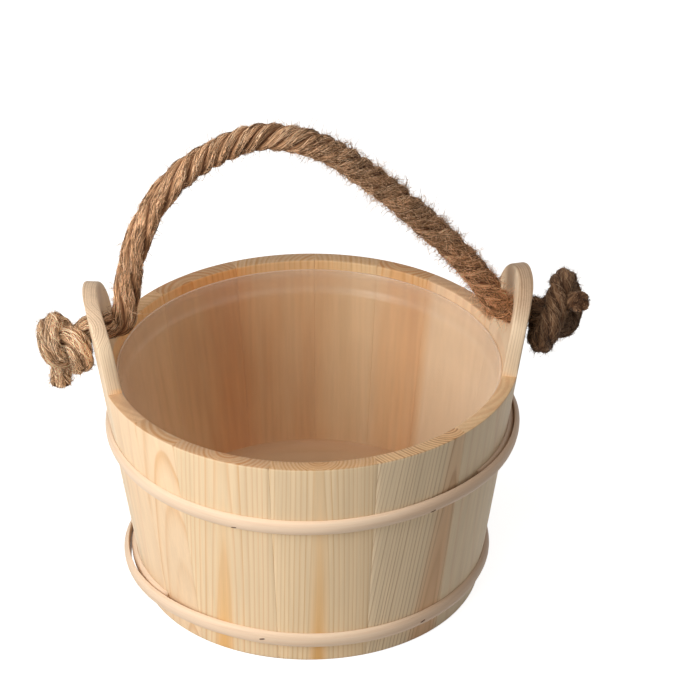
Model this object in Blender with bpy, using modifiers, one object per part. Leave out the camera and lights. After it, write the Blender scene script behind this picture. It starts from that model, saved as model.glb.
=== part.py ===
"""Coopered sauna bucket with two eared staves, a plastic liner and a knotted rope handle.

Units are metres and +Z is up. The origin is on the bucket's axis, on the surface it stands on,
and the two ears lie along the X axis.
"""

import math

import bmesh
import bpy
from mathutils import Matrix, Vector

# Staved body
RIM_DIAMETER = 0.260
BASE_DIAMETER = 0.2135
BODY_HEIGHT = 0.1535
WALL = 0.0092
EDGE_EASING = 0.0008
STAVE_STEP = math.radians(3.6)

# Ears, the two tall staves
EAR_ANGLE = math.radians(31.3)
EAR_RISE = 0.0535
EAR_ROUND_DEPTH = 0.035
EAR_SQUARENESS = 2.25
EAR_SIDE_SPARE = 0.0006
EAR_OUTLINE_POINTS = 28
HOLE_ABOVE_RIM = 0.0275
HOLE_SEGMENTS = 32

# Widths of the other staves as shares of the arc between the ears, from the right ear to the left
FRONT_STAVES = (32.0, 28.0, 29.0, 28.0, 15.5, 16.0)
BACK_STAVES = (31.5, 17.5, 19.5, 24.5, 27.5, 28.5)

# Bottom boards in their groove, from front to back
BOTTOM_TOP = 0.029
BOTTOM_THICKNESS = 0.010
BOTTOM_CHAMFER = 0.004
TONGUE_THICKNESS = 0.005
GROOVE_DEPTH = 0.0035
BOARD_SHARES = (58.0, 104.0, 28.0)
BOTTOM_STEPS = 72

# Half-round wooden hoops with tapered ends that lap
HOOP_WIDTH = 0.0104
HOOP_THICKNESS = 0.0038
HOOP_TIP_THICKNESS = 0.0012
UPPER_HOOP_HEIGHT = 0.109
LOWER_HOOP_HEIGHT = 0.0178
UPPER_LAP_START = math.radians(-39.0)
LOWER_LAP_START = math.radians(-147.0)
LAP_ANGLE = math.radians(62.0)
TAPER_ANGLE = math.radians(24.0)
CLIMB_ANGLE = math.radians(30.0)
UPPER_LAP_STAND_OFF = 0.0004
LOWER_LAP_STAND_OFF = 0.0020
HOOP_STEP = math.radians(5.0)
HOOP_ROUND_POINTS = 8

# Plastic liner
LINER_WALL = 0.0016
LINER_BELOW_RIM = 0.0057
LINER_COLLAR = 0.0118
LINER_STEP = 0.0026
LINER_LIP = 0.0012
LINER_FLOOR_DIAMETER = 0.186
LINER_CORNER = 0.009
LINER_CORNER_POINTS = 5
LINER_STEPS = 72

# Rope handle
ROPE_DIAMETER = 0.016
HANDLE_RISE = 0.127
ROPE_SIDES_RESOLUTION = 4
ROPE_POINT_SPACING = 0.011
# Points of the handle between the ears: share of the half span, share of the rise
HANDLE_ROUTE = (
    (-0.951, 0.028),
    (-0.926, 0.105),
    (-0.912, 0.215),
    (-0.893, 0.325),
    (-0.858, 0.455),
    (-0.80, 0.59),
    (-0.722, 0.715),
    (-0.575, 0.855),
    (-0.36, 0.97),
    (-0.17, 1.0),
    (0.08, 0.93),
    (0.31, 0.765),
    (0.556, 0.542),
    (0.77, 0.318),
    (0.90, 0.146),
    (0.966, 0.035),
)
HOLE_STRAIGHT = 0.004
# Knots outside the ears, all sized by the rope: how far out from the ear's outer face, how far below the
# hole's axis, the radius of the turn, and the reach of the loose end
LEFT_KNOT_OUT = 1.28125 * ROPE_DIAMETER
LEFT_KNOT_DROP = 0.59375 * ROPE_DIAMETER
LEFT_KNOT_RING = 0.7375 * ROPE_DIAMETER
LEFT_KNOT_TILT = math.radians(-24.0)
LEFT_TAIL_DROP = 2.5625 * ROPE_DIAMETER
RIGHT_KNOT_OUT = 1.075 * ROPE_DIAMETER
RIGHT_KNOT_DROP = 0.15625 * ROPE_DIAMETER
RIGHT_KNOT_RING = 1.15625 * ROPE_DIAMETER
RIGHT_KNOT_TILT = math.radians(24.0)
RIGHT_TAIL_REACH = 2.3125 * ROPE_DIAMETER
RIGHT_TAIL_FORWARD = 1.3125 * ROPE_DIAMETER
KNOT_RING_SEGMENTS = 24
KNOT_RING_TURN = math.radians(4.0)
KNOT_TUBE_SEGMENTS = 12
# Course of the two loose ends past the knots, in rope diameters along X, Y and Z
LEFT_TAIL_BEND = Vector((-0.25, -0.25, -0.5))
LEFT_TAIL_OUT = 0.2
LEFT_TAIL_FORWARD = 0.35
RIGHT_TAIL_BEND = Vector((0.5, -0.5, 0.1))
RIGHT_TAIL_RISE = 0.25

# Fits
JOINT_GAP = 0.0003
SEAT_GAP = 0.0003
LINER_CLEARANCE = 0.0005
HOLE_CLEARANCE = 0.0005
CUTTER_SPARE = 0.010
WELD_DISTANCE = 0.00001
SHARP_ANGLE = math.radians(30.0)

PALE_PINE = (0.80, 0.61, 0.38)
HONEY_PINE = (0.74, 0.52, 0.29)
GREY_PINE = (0.63, 0.52, 0.36)
PINK_PINE = (0.72, 0.48, 0.33)
HOOP_WOOD = (0.82, 0.63, 0.46)
MILKY_PLASTIC = (0.80, 0.72, 0.62)
JUTE = (0.40, 0.26, 0.13)
PLANED_ROUGHNESS = 0.55
BOARD_ROUGHNESS = 0.60
HOOP_ROUGHNESS = 0.50
PLASTIC_ROUGHNESS = 0.25
ROPE_ROUGHNESS = 0.90
PLASTIC_TRANSMISSION = 0.40

FLARE = (RIM_DIAMETER - BASE_DIAMETER) / 2 / BODY_HEIGHT
FLARE_ANGLE = math.atan(FLARE)
HOLE_HEIGHT = BODY_HEIGHT + HOLE_ABOVE_RIM


def outer_radius(height):
    """Radius of the staves' outer face."""
    return BASE_DIAMETER / 2 + FLARE * height


def inner_radius(height):
    """Radius of the staves' inner face."""
    return outer_radius(height) - WALL


def clear_scene():
    for obj in list(bpy.data.objects):
        bpy.data.objects.remove(obj, do_unlink=True)


def new_collection(name):
    collection = bpy.data.collections.new(name)
    bpy.context.scene.collection.children.link(collection)
    return collection


def new_material(name, colour, roughness, transmission=0.0):
    material = bpy.data.materials.new(name)
    material.use_nodes = True
    shader = material.node_tree.nodes["Principled BSDF"]
    shader.inputs["Base Color"].default_value = (*colour, 1.0)
    shader.inputs["Roughness"].default_value = roughness
    shader.inputs["Metallic"].default_value = 0.0
    shader.inputs["Transmission Weight"].default_value = transmission
    material.diffuse_color = (*colour, 1.0)
    return material


def smooth_but_edges(mesh):
    mesh.shade_smooth()
    mesh.set_sharp_from_angle(angle=SHARP_ANGLE)


def place(name, mesh, material=None):
    """Puts a mesh into the bucket's collection, or among the cutters if it has no material."""
    obj = bpy.data.objects.new(name, mesh)
    if material is None:
        cutters.objects.link(obj)
        obj.hide_render = True
        obj.display_type = "WIRE"
    else:
        bucket.objects.link(obj)
        mesh.materials.append(material)
        smooth_but_edges(mesh)
    return obj


def add_boolean(obj, operation, other):
    modifier = obj.modifiers.new(f"{operation.lower()} {other.name}", "BOOLEAN")
    modifier.operation = operation
    modifier.object = other
    modifier.solver = "EXACT"


def mesh_from(bm, name):
    mesh = bpy.data.meshes.new(name)
    bm.to_mesh(mesh)
    bm.free()
    return mesh


def spun_sector(name, profile, start, sweep):
    """A closed profile of (radius, height) points swept about Z through part of a turn."""
    bm = bmesh.new()
    face = bm.faces.new([bm.verts.new((radius, 0.0, height)) for radius, height in profile])
    bmesh.ops.rotate(bm, verts=bm.verts[:], cent=(0, 0, 0), matrix=Matrix.Rotation(start, 3, "Z"))
    bmesh.ops.spin(
        bm,
        geom=[face, *face.edges, *face.verts],
        cent=(0, 0, 0),
        axis=(0, 0, 1),
        angle=sweep,
        steps=max(2, round(sweep / STAVE_STEP)),
        use_duplicate=False,
    )
    bmesh.ops.recalc_face_normals(bm, faces=bm.faces[:])
    return mesh_from(bm, name)


def profile_mesh(name, profile):
    """An open profile of (radius, height) points for a Screw modifier."""
    bm = bmesh.new()
    verts = [bm.verts.new((radius, 0.0, height)) for radius, height in profile]
    for first, second in zip(verts, verts[1:]):
        bm.edges.new((first, second))
    return mesh_from(bm, name)


def add_screw(obj, steps):
    screw = obj.modifiers.new("turned", "SCREW")
    screw.steps = steps
    screw.render_steps = steps
    screw.use_merge_vertices = True
    screw.merge_threshold = WELD_DISTANCE


def mesh_of_curve(curve, name):
    """The closed mesh of a bevelled curve, with its caps welded on. The curve is removed."""
    graph = bpy.context.evaluated_depsgraph_get()
    mesh = bpy.data.meshes.new_from_object(curve.evaluated_get(graph))
    bm = bmesh.new()
    bm.from_mesh(mesh)
    bmesh.ops.remove_doubles(bm, verts=bm.verts[:], dist=WELD_DISTANCE)
    bmesh.ops.recalc_face_normals(bm, faces=bm.faces[:])
    bm.to_mesh(mesh)
    bm.free()
    mesh.materials.clear()
    mesh.name = name
    data = curve.data
    bpy.data.objects.remove(curve, do_unlink=True)
    bpy.data.curves.remove(data)
    return mesh


def rope_mesh(name, points):
    """A round rope along points."""
    data = bpy.data.curves.new(name, "CURVE")
    data.dimensions = "3D"
    data.bevel_depth = ROPE_DIAMETER / 2
    data.bevel_resolution = ROPE_SIDES_RESOLUTION
    data.use_fill_caps = True
    data.twist_mode = "MINIMUM"
    spline = data.splines.new("POLY")
    spline.points.add(len(points) - 1)
    for slot, point in zip(spline.points, points):
        slot.co = (*point, 1.0)
    curve = bpy.data.objects.new(name, data)
    cutters.objects.link(curve)
    bpy.context.view_layer.update()
    return mesh_of_curve(curve, name)


def smooth_route(points, spacing):
    """Points at about even distances on a Catmull-Rom curve through the given ones."""
    ends = [2 * points[0] - points[1], *points, 2 * points[-1] - points[-2]]
    route = []
    for before, first, second, after in zip(ends, ends[1:], ends[2:], ends[3:]):
        count = max(1, round((second - first).length / spacing))
        for index in range(count):
            t = index / count
            route.append(
                0.5
                * (
                    2 * first
                    + (second - before) * t
                    + (2 * before - 5 * first + 4 * second - after) * t**2
                    + (3 * first - before - 3 * second + after) * t**3
                )
            )
    return [*route, points[-1]]


def stave_profile(top):
    """Section of the wall, from the bottom's inner edge round to the groove for the bottom boards."""
    groove_top = BOTTOM_TOP + SEAT_GAP
    groove_foot = BOTTOM_TOP - TONGUE_THICKNESS - SEAT_GAP
    ease = EDGE_EASING
    return (
        (inner_radius(0) + ease, 0.0),
        (outer_radius(0) - ease, 0.0),
        (outer_radius(ease), ease),
        (outer_radius(top - ease), top - ease),
        (outer_radius(top) - ease, top),
        (inner_radius(top) + ease, top),
        (inner_radius(top - ease), top - ease),
        (inner_radius(groove_top), groove_top),
        (inner_radius(groove_top) + GROOVE_DEPTH, groove_top),
        (inner_radius(groove_foot) + GROOVE_DEPTH, groove_foot),
        (inner_radius(groove_foot), groove_foot),
        (inner_radius(ease), ease),
    )


def joint_margin():
    """Half of the gap between two staves, as an angle."""
    return JOINT_GAP / inner_radius(0) / 2


def add_stave_row(row, shares, start, direction, tones):
    """The plain staves on one side, laid from the right ear to the left one."""
    arc = math.pi - EAR_ANGLE
    edge = start
    for number, share in enumerate(shares, 1):
        width = arc * share / sum(shares)
        first = edge if direction > 0 else edge - width
        name = f"stave_{row}_{number}"
        mesh = spun_sector(
            name, stave_profile(BODY_HEIGHT), first + joint_margin(), width - 2 * joint_margin()
        )
        place(name, mesh, new_material(name, tones[number % len(tones)], PLANED_ROUGHNESS))
        edge += direction * width


def ear_outline():
    """Outline of an ear in (y, z), straight below and rounded over at the top."""
    foot = BODY_HEIGHT + EAR_RISE - EAR_ROUND_DEPTH
    half_width = outer_radius(foot) * math.sin(EAR_ANGLE / 2) + EAR_SIDE_SPARE
    points = [(half_width + CUTTER_SPARE, -CUTTER_SPARE), (half_width + CUTTER_SPARE, foot)]
    for index in range(EAR_OUTLINE_POINTS + 1):
        angle = math.pi * index / EAR_OUTLINE_POINTS
        across = math.copysign(abs(math.cos(angle)) ** (2 / EAR_SQUARENESS), math.cos(angle))
        rise = math.sin(angle) ** (2 / EAR_SQUARENESS)
        points.append((half_width * across, foot + EAR_ROUND_DEPTH * rise))
    points.append((-half_width - CUTTER_SPARE, foot))
    points.append((-half_width - CUTTER_SPARE, -CUTTER_SPARE))
    return points


def add_ears():
    """The two tall staves, rounded at the top and bored for the rope."""
    top = BODY_HEIGHT + EAR_RISE + CUTTER_SPARE
    reach = outer_radius(top) + CUTTER_SPARE

    bm = bmesh.new()
    face = bm.faces.new([bm.verts.new((-reach, across, height)) for across, height in ear_outline()])
    moved = bmesh.ops.extrude_face_region(bm, geom=[face])["geom"]
    new_verts = [part for part in moved if isinstance(part, bmesh.types.BMVert)]
    bmesh.ops.translate(bm, verts=new_verts, vec=(2 * reach, 0, 0))
    bmesh.ops.recalc_face_normals(bm, faces=bm.faces[:])
    outline = place("ear_outline", mesh_from(bm, "ear_outline"))

    bm = bmesh.new()
    bmesh.ops.create_cone(
        bm,
        cap_ends=True,
        segments=HOLE_SEGMENTS,
        radius1=ROPE_DIAMETER / 2 + HOLE_CLEARANCE,
        radius2=ROPE_DIAMETER / 2 + HOLE_CLEARANCE,
        depth=2 * reach,
        matrix=Matrix.Translation((0, 0, HOLE_HEIGHT)) @ Matrix.Rotation(math.pi / 2, 4, "Y"),
    )
    bore = place("rope_bore", mesh_from(bm, "rope_bore"))

    for side, middle in (("right", 0.0), ("left", math.pi)):
        name = f"stave_ear_{side}"
        mesh = spun_sector(
            name,
            stave_profile(top),
            middle - EAR_ANGLE / 2 + joint_margin(),
            EAR_ANGLE - 2 * joint_margin(),
        )
        ear = place(name, mesh, new_material(name, PALE_PINE, PLANED_ROUGHNESS))
        add_boolean(ear, "INTERSECT", outline)
        add_boolean(ear, "DIFFERENCE", bore)


def add_bottom():
    """The bottom disc, turned with a tongue for the groove and sawn into boards along X."""
    under = BOTTOM_TOP - BOTTOM_THICKNESS
    tongue_foot = BOTTOM_TOP - TONGUE_THICKNESS
    tongue_radius = inner_radius(tongue_foot) + GROOVE_DEPTH - SEAT_GAP
    body_radius = inner_radius(under) - SEAT_GAP
    profile = (
        (0.0, BOTTOM_TOP),
        (tongue_radius, BOTTOM_TOP),
        (tongue_radius, tongue_foot),
        (body_radius, tongue_foot),
        (body_radius - BOTTOM_CHAMFER, under),
        (0.0, under),
    )
    edge = -tongue_radius
    for number, share in enumerate(BOARD_SHARES, 1):
        width = 2 * tongue_radius * share / sum(BOARD_SHARES)
        first = edge + (JOINT_GAP / 2 if number > 1 else -CUTTER_SPARE)
        last = edge + width + (-JOINT_GAP / 2 if number < len(BOARD_SHARES) else CUTTER_SPARE)
        bm = bmesh.new()
        bmesh.ops.create_cube(bm, size=1.0)
        bmesh.ops.scale(
            bm,
            verts=bm.verts[:],
            vec=(2 * (tongue_radius + CUTTER_SPARE), last - first, BOTTOM_THICKNESS + CUTTER_SPARE),
        )
        bmesh.ops.translate(
            bm, verts=bm.verts[:], vec=(0, (first + last) / 2, BOTTOM_TOP - BOTTOM_THICKNESS / 2)
        )
        saw = place(f"board_cut_{number}", mesh_from(bm, f"board_cut_{number}"))
        name = f"bottom_board_{number}"
        board = place(name, profile_mesh(name, profile), new_material(name, HONEY_PINE, BOARD_ROUGHNESS))
        add_screw(board, BOTTOM_STEPS)
        add_boolean(board, "INTERSECT", saw)
        edge += width


def ease_between(value, low, high):
    """Goes smoothly from 0 at low to 1 at high."""
    share = min(1.0, max(0.0, (value - low) / (high - low)))
    return share * share * (3 - 2 * share)


def hoop_thickness(turned):
    """Thickness of the strip at an angle from its inner tip, thinned at both ends."""
    length = 2 * math.pi + LAP_ANGLE
    share = ease_between(min(turned, length - turned), 0.0, TAPER_ANGLE)
    return HOOP_TIP_THICKNESS + (HOOP_THICKNESS - HOOP_TIP_THICKNESS) * share


def hoop_lift(turned, stand_off):
    """Distance of the strip's flat back from the wall, where its end climbs over its start."""
    past = turned - 2 * math.pi
    climb = ease_between(past, -CLIMB_ANGLE, TAPER_ANGLE)
    settle = ease_between(past, TAPER_ANGLE, LAP_ANGLE)
    return SEAT_GAP + (HOOP_THICKNESS + SEAT_GAP) * climb + stand_off * (climb - settle)


def hoop_section(turned, angle, height, stand_off):
    """Half-round section of the strip, its flat back along the flared wall."""
    outward = Vector((math.cos(angle), math.sin(angle), 0.0))
    normal = outward * math.cos(FLARE_ANGLE) - Vector((0, 0, 1)) * math.sin(FLARE_ANGLE)
    upward = outward * math.sin(FLARE_ANGLE) + Vector((0, 0, 1)) * math.cos(FLARE_ANGLE)
    back = outward * outer_radius(height) + Vector((0, 0, height)) + normal * hoop_lift(turned, stand_off)
    points = []
    for index in range(HOOP_ROUND_POINTS + 1):
        around = math.pi * index / HOOP_ROUND_POINTS
        points.append(
            back
            + upward * (HOOP_WIDTH / 2 * math.cos(around))
            + normal * (hoop_thickness(turned) * math.sin(around))
        )
    return points


def add_hoop(name, height, start, direction, stand_off):
    """A strip lofted round the staves, with its outer end lapped over its inner one."""
    length = 2 * math.pi + LAP_ANGLE
    count = round(length / HOOP_STEP)
    bm = bmesh.new()
    rings = []
    for index in range(count + 1):
        turned = length * index / count
        section = hoop_section(turned, start + direction * turned, height, stand_off)
        rings.append([bm.verts.new(point) for point in section])
    for first, second in zip(rings, rings[1:]):
        for here in range(len(first)):
            after = (here + 1) % len(first)
            bm.faces.new((first[here], first[after], second[after], second[here]))
    bm.faces.new(rings[0])
    bm.faces.new(rings[-1])
    bmesh.ops.recalc_face_normals(bm, faces=bm.faces[:])
    place(name, mesh_from(bm, name), new_material(name, HOOP_WOOD, HOOP_ROUGHNESS))


def add_liner():
    """The loose plastic tub: lip, collar and step above, tapered wall and round corner below."""
    lip_top = BODY_HEIGHT - LINER_BELOW_RIM
    step = lip_top - LINER_COLLAR
    floor_top = BOTTOM_TOP + SEAT_GAP + LINER_WALL
    lip_radius = inner_radius(lip_top) - LINER_CLEARANCE
    collar_radius = inner_radius(step) - LINER_CLEARANCE
    wall_radius = collar_radius - LINER_STEP
    floor_radius = LINER_FLOOR_DIAMETER / 2
    outside = [
        (lip_radius, lip_top),
        (lip_radius - FLARE * LINER_LIP, lip_top - LINER_LIP),
        (collar_radius, step),
        (wall_radius, step - LINER_STEP),
    ]
    inside = [
        (floor_radius - LINER_CORNER, floor_top),
    ]
    for index in range(LINER_CORNER_POINTS + 1):
        angle = math.pi / 2 * index / LINER_CORNER_POINTS
        across = math.cos(angle)
        down = math.sin(angle)
        radius = LINER_CORNER + LINER_WALL
        middle = floor_top + LINER_CORNER
        centre = floor_radius - LINER_CORNER
        outside.append((centre + radius * across, middle - radius * down))
        if index < LINER_CORNER_POINTS:
            inside.insert(1, (centre + LINER_CORNER * across, middle - LINER_CORNER * down))
    inside += [
        (wall_radius - LINER_WALL, step - LINER_STEP),
        (collar_radius - LINER_WALL, step),
        (lip_radius - LINER_WALL, lip_top),
    ]
    outside.append((0.0, BOTTOM_TOP + SEAT_GAP))
    profile = [(0.0, floor_top), *inside, *outside]
    plastic = new_material("liner", MILKY_PLASTIC, PLASTIC_ROUGHNESS, PLASTIC_TRANSMISSION)
    liner = place("liner", profile_mesh("liner", profile), plastic)
    add_screw(liner, LINER_STEPS)


def add_ring(name, centre, ring_radius, tilt):
    """One turn of rope in a knot, its axis tilted from X in the XZ plane."""
    bpy.ops.mesh.primitive_torus_add(
        major_segments=KNOT_RING_SEGMENTS,
        minor_segments=KNOT_TUBE_SEGMENTS,
        major_radius=ring_radius,
        minor_radius=ROPE_DIAMETER / 2,
    )
    made = bpy.context.object
    mesh = made.data
    bpy.data.objects.remove(made, do_unlink=True)
    lean = Matrix.Rotation(math.pi / 2 + tilt, 4, "Y") @ Matrix.Rotation(KNOT_RING_TURN, 4, "Z")
    mesh.transform(Matrix.Translation(centre) @ lean)
    mesh.materials.clear()
    return place(name, mesh)


def add_handle():
    """The rope, knotted outside each ear. It turns in the two holes, so its pivot lies on their axis."""
    pivot = bpy.data.objects.new("handle_pivot", None)
    pivot.location = (0.0, 0.0, HOLE_HEIGHT)
    bucket.objects.link(pivot)

    rope = ROPE_DIAMETER
    inside = inner_radius(HOLE_HEIGHT) - HOLE_STRAIGHT
    face = outer_radius(HOLE_HEIGHT)
    left_knot = Vector((-face - LEFT_KNOT_OUT, 0.0, -LEFT_KNOT_DROP))
    right_knot = Vector((face + RIGHT_KNOT_OUT, 0.0, -RIGHT_KNOT_DROP))
    straight = (inside, inner_radius(HOLE_HEIGHT), face, face + HOLE_STRAIGHT)
    route = [left_knot, *(Vector((-across, 0.0, 0.0)) for across in reversed(straight))]
    route += [Vector((across * inside, 0.0, rise * HANDLE_RISE)) for across, rise in HANDLE_ROUTE]
    route += [*(Vector((across, 0.0, 0.0)) for across in straight), right_knot]

    mesh = rope_mesh("rope_handle", smooth_route(route, ROPE_POINT_SPACING))
    handle = place("rope_handle", mesh, new_material("rope_handle", JUTE, ROPE_ROUGHNESS))
    handle.parent = pivot

    left_tail = (
        left_knot,
        left_knot + LEFT_TAIL_BEND * rope,
        Vector((left_knot.x - LEFT_TAIL_OUT * rope, -LEFT_TAIL_FORWARD * rope, -LEFT_TAIL_DROP)),
    )
    right_tail = (
        right_knot,
        right_knot + RIGHT_TAIL_BEND * rope,
        Vector((face + RIGHT_TAIL_REACH - rope / 2, -RIGHT_TAIL_FORWARD, RIGHT_TAIL_RISE * rope)),
    )
    joined = (
        add_ring("left_knot_turn", left_knot, LEFT_KNOT_RING, LEFT_KNOT_TILT),
        place("left_knot_tail", rope_mesh("left_knot_tail", smooth_route(left_tail, ROPE_POINT_SPACING))),
        add_ring("right_knot_turn", right_knot, RIGHT_KNOT_RING, RIGHT_KNOT_TILT),
        place("right_knot_tail", rope_mesh("right_knot_tail", smooth_route(right_tail, ROPE_POINT_SPACING))),
    )
    for piece in joined:
        piece.parent = pivot
        add_boolean(handle, "UNION", piece)


clear_scene()
bucket = new_collection("sauna_bucket")
cutters = new_collection("cutters")
add_stave_row("front", FRONT_STAVES, -EAR_ANGLE / 2, -1, (PALE_PINE, GREY_PINE, HONEY_PINE))
add_stave_row("back", BACK_STAVES, EAR_ANGLE / 2, 1, (HONEY_PINE, PINK_PINE, PALE_PINE))
add_ears()
add_bottom()
add_hoop("upper_hoop", UPPER_HOOP_HEIGHT, UPPER_LAP_START, 1, UPPER_LAP_STAND_OFF)
add_hoop("lower_hoop", LOWER_HOOP_HEIGHT, LOWER_LAP_START, -1, LOWER_LAP_STAND_OFF)
add_liner()
add_handle()
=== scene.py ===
"""Sauna bucket: turned pine staves, lapped hoops, a milky tub and a hairy rope handle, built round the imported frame."""

import math

import bpy
import numpy as np
from mathutils import Matrix, Vector


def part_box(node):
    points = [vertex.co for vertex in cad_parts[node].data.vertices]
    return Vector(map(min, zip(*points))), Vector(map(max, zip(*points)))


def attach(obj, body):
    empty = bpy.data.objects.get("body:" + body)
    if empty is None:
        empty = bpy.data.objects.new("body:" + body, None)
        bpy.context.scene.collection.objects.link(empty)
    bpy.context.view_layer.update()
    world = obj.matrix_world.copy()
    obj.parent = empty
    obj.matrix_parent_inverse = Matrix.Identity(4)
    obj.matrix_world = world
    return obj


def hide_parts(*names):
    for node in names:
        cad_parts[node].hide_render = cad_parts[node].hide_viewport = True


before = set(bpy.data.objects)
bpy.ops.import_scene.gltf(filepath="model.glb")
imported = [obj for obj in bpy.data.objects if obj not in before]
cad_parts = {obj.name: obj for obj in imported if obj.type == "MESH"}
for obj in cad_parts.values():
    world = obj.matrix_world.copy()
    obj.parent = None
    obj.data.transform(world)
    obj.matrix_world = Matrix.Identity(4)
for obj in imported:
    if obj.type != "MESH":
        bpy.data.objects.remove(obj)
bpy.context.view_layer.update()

# Sizes shared with the CAD source, in metres
RIM_DIAMETER = 0.260
BASE_DIAMETER = 0.2135
BODY_HEIGHT = 0.1535
WALL = 0.0092
EAR_ANGLE = math.radians(31.3)
EAR_RISE = 0.0535
EAR_ROUND_DEPTH = 0.035
EAR_SQUARENESS = 2.25
HOLE_ABOVE_RIM = 0.0275
HOLE_HEIGHT = BODY_HEIGHT + HOLE_ABOVE_RIM
HOLE_RADIUS = 0.0085
FRONT_STAVES = (32.0, 28.0, 29.0, 28.0, 15.5, 16.0)
BACK_STAVES = (31.5, 17.5, 19.5, 24.5, 27.5, 28.5)
BOTTOM_TOP = 0.029
HOOP_WIDTH = 0.0104
HOOP_THICKNESS = 0.0038
HOOP_TIP_THICKNESS = 0.0012
# The laps stand off less than in the CAD source, so that less light shows between
UPPER_HOOP = {
    "height": 0.109, "start": math.radians(-39.0), "turn": 1, "stand_off": -0.00025, "tip": math.radians(18.0),
}
LOWER_HOOP = {
    "height": 0.0178, "start": math.radians(-147.0), "turn": -1, "stand_off": 0.0010, "tip": math.radians(9.0),
}
LAP_ANGLE = math.radians(62.0)
TAPER_ANGLE = math.radians(24.0)
CLIMB_ANGLE = math.radians(30.0)
SEAT_GAP = 0.0003
LINER_WALL = 0.0016
LINER_BELOW_RIM = 0.0057
LINER_COLLAR = 0.0118
LINER_STEP = 0.0026
LINER_FLOOR_RADIUS = 0.093
LINER_CORNER = 0.009
LINER_CLEARANCE = 0.0005
ROPE_RADIUS = 0.008

FLARE = (RIM_DIAMETER - BASE_DIAMETER) / 2 / BODY_HEIGHT
FLARE_ANGLE = math.atan(FLARE)
LIP_TOP = BODY_HEIGHT - LINER_BELOW_RIM
REFERENCE_RADIUS = 0.125
UPRIGHT = np.array([0.0, 0.0, 1.0])
WHITE = (1.0, 1.0, 1.0)


def outer_radius(height):
    return BASE_DIAMETER / 2 + FLARE * height


def inner_radius(height):
    return outer_radius(height) - WALL


def wall_ways(outward):
    """The directions square to the flared wall and up along it, where outward is level."""
    square = outward * math.cos(FLARE_ANGLE) - UPRIGHT * math.sin(FLARE_ANGLE)
    upward = outward * math.sin(FLARE_ANGLE) + UPRIGHT * math.cos(FLARE_ANGLE)
    return square, upward


def ease(value, low, high):
    """0 at low and 1 at high, with soft ends."""
    share = np.clip((value - low) / (high - low), 0.0, 1.0)
    return share * share * (3 - 2 * share)


def unit(vectors):
    return vectors / np.maximum(np.linalg.norm(vectors, axis=-1, keepdims=True), 1e-9)


def interpolate(at, along, values):
    """Values, or rows of three, at places along a line."""
    if values.ndim == 1:
        return np.interp(at, along, values)
    return np.stack([np.interp(at, along, column) for column in values.T], -1)


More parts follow.
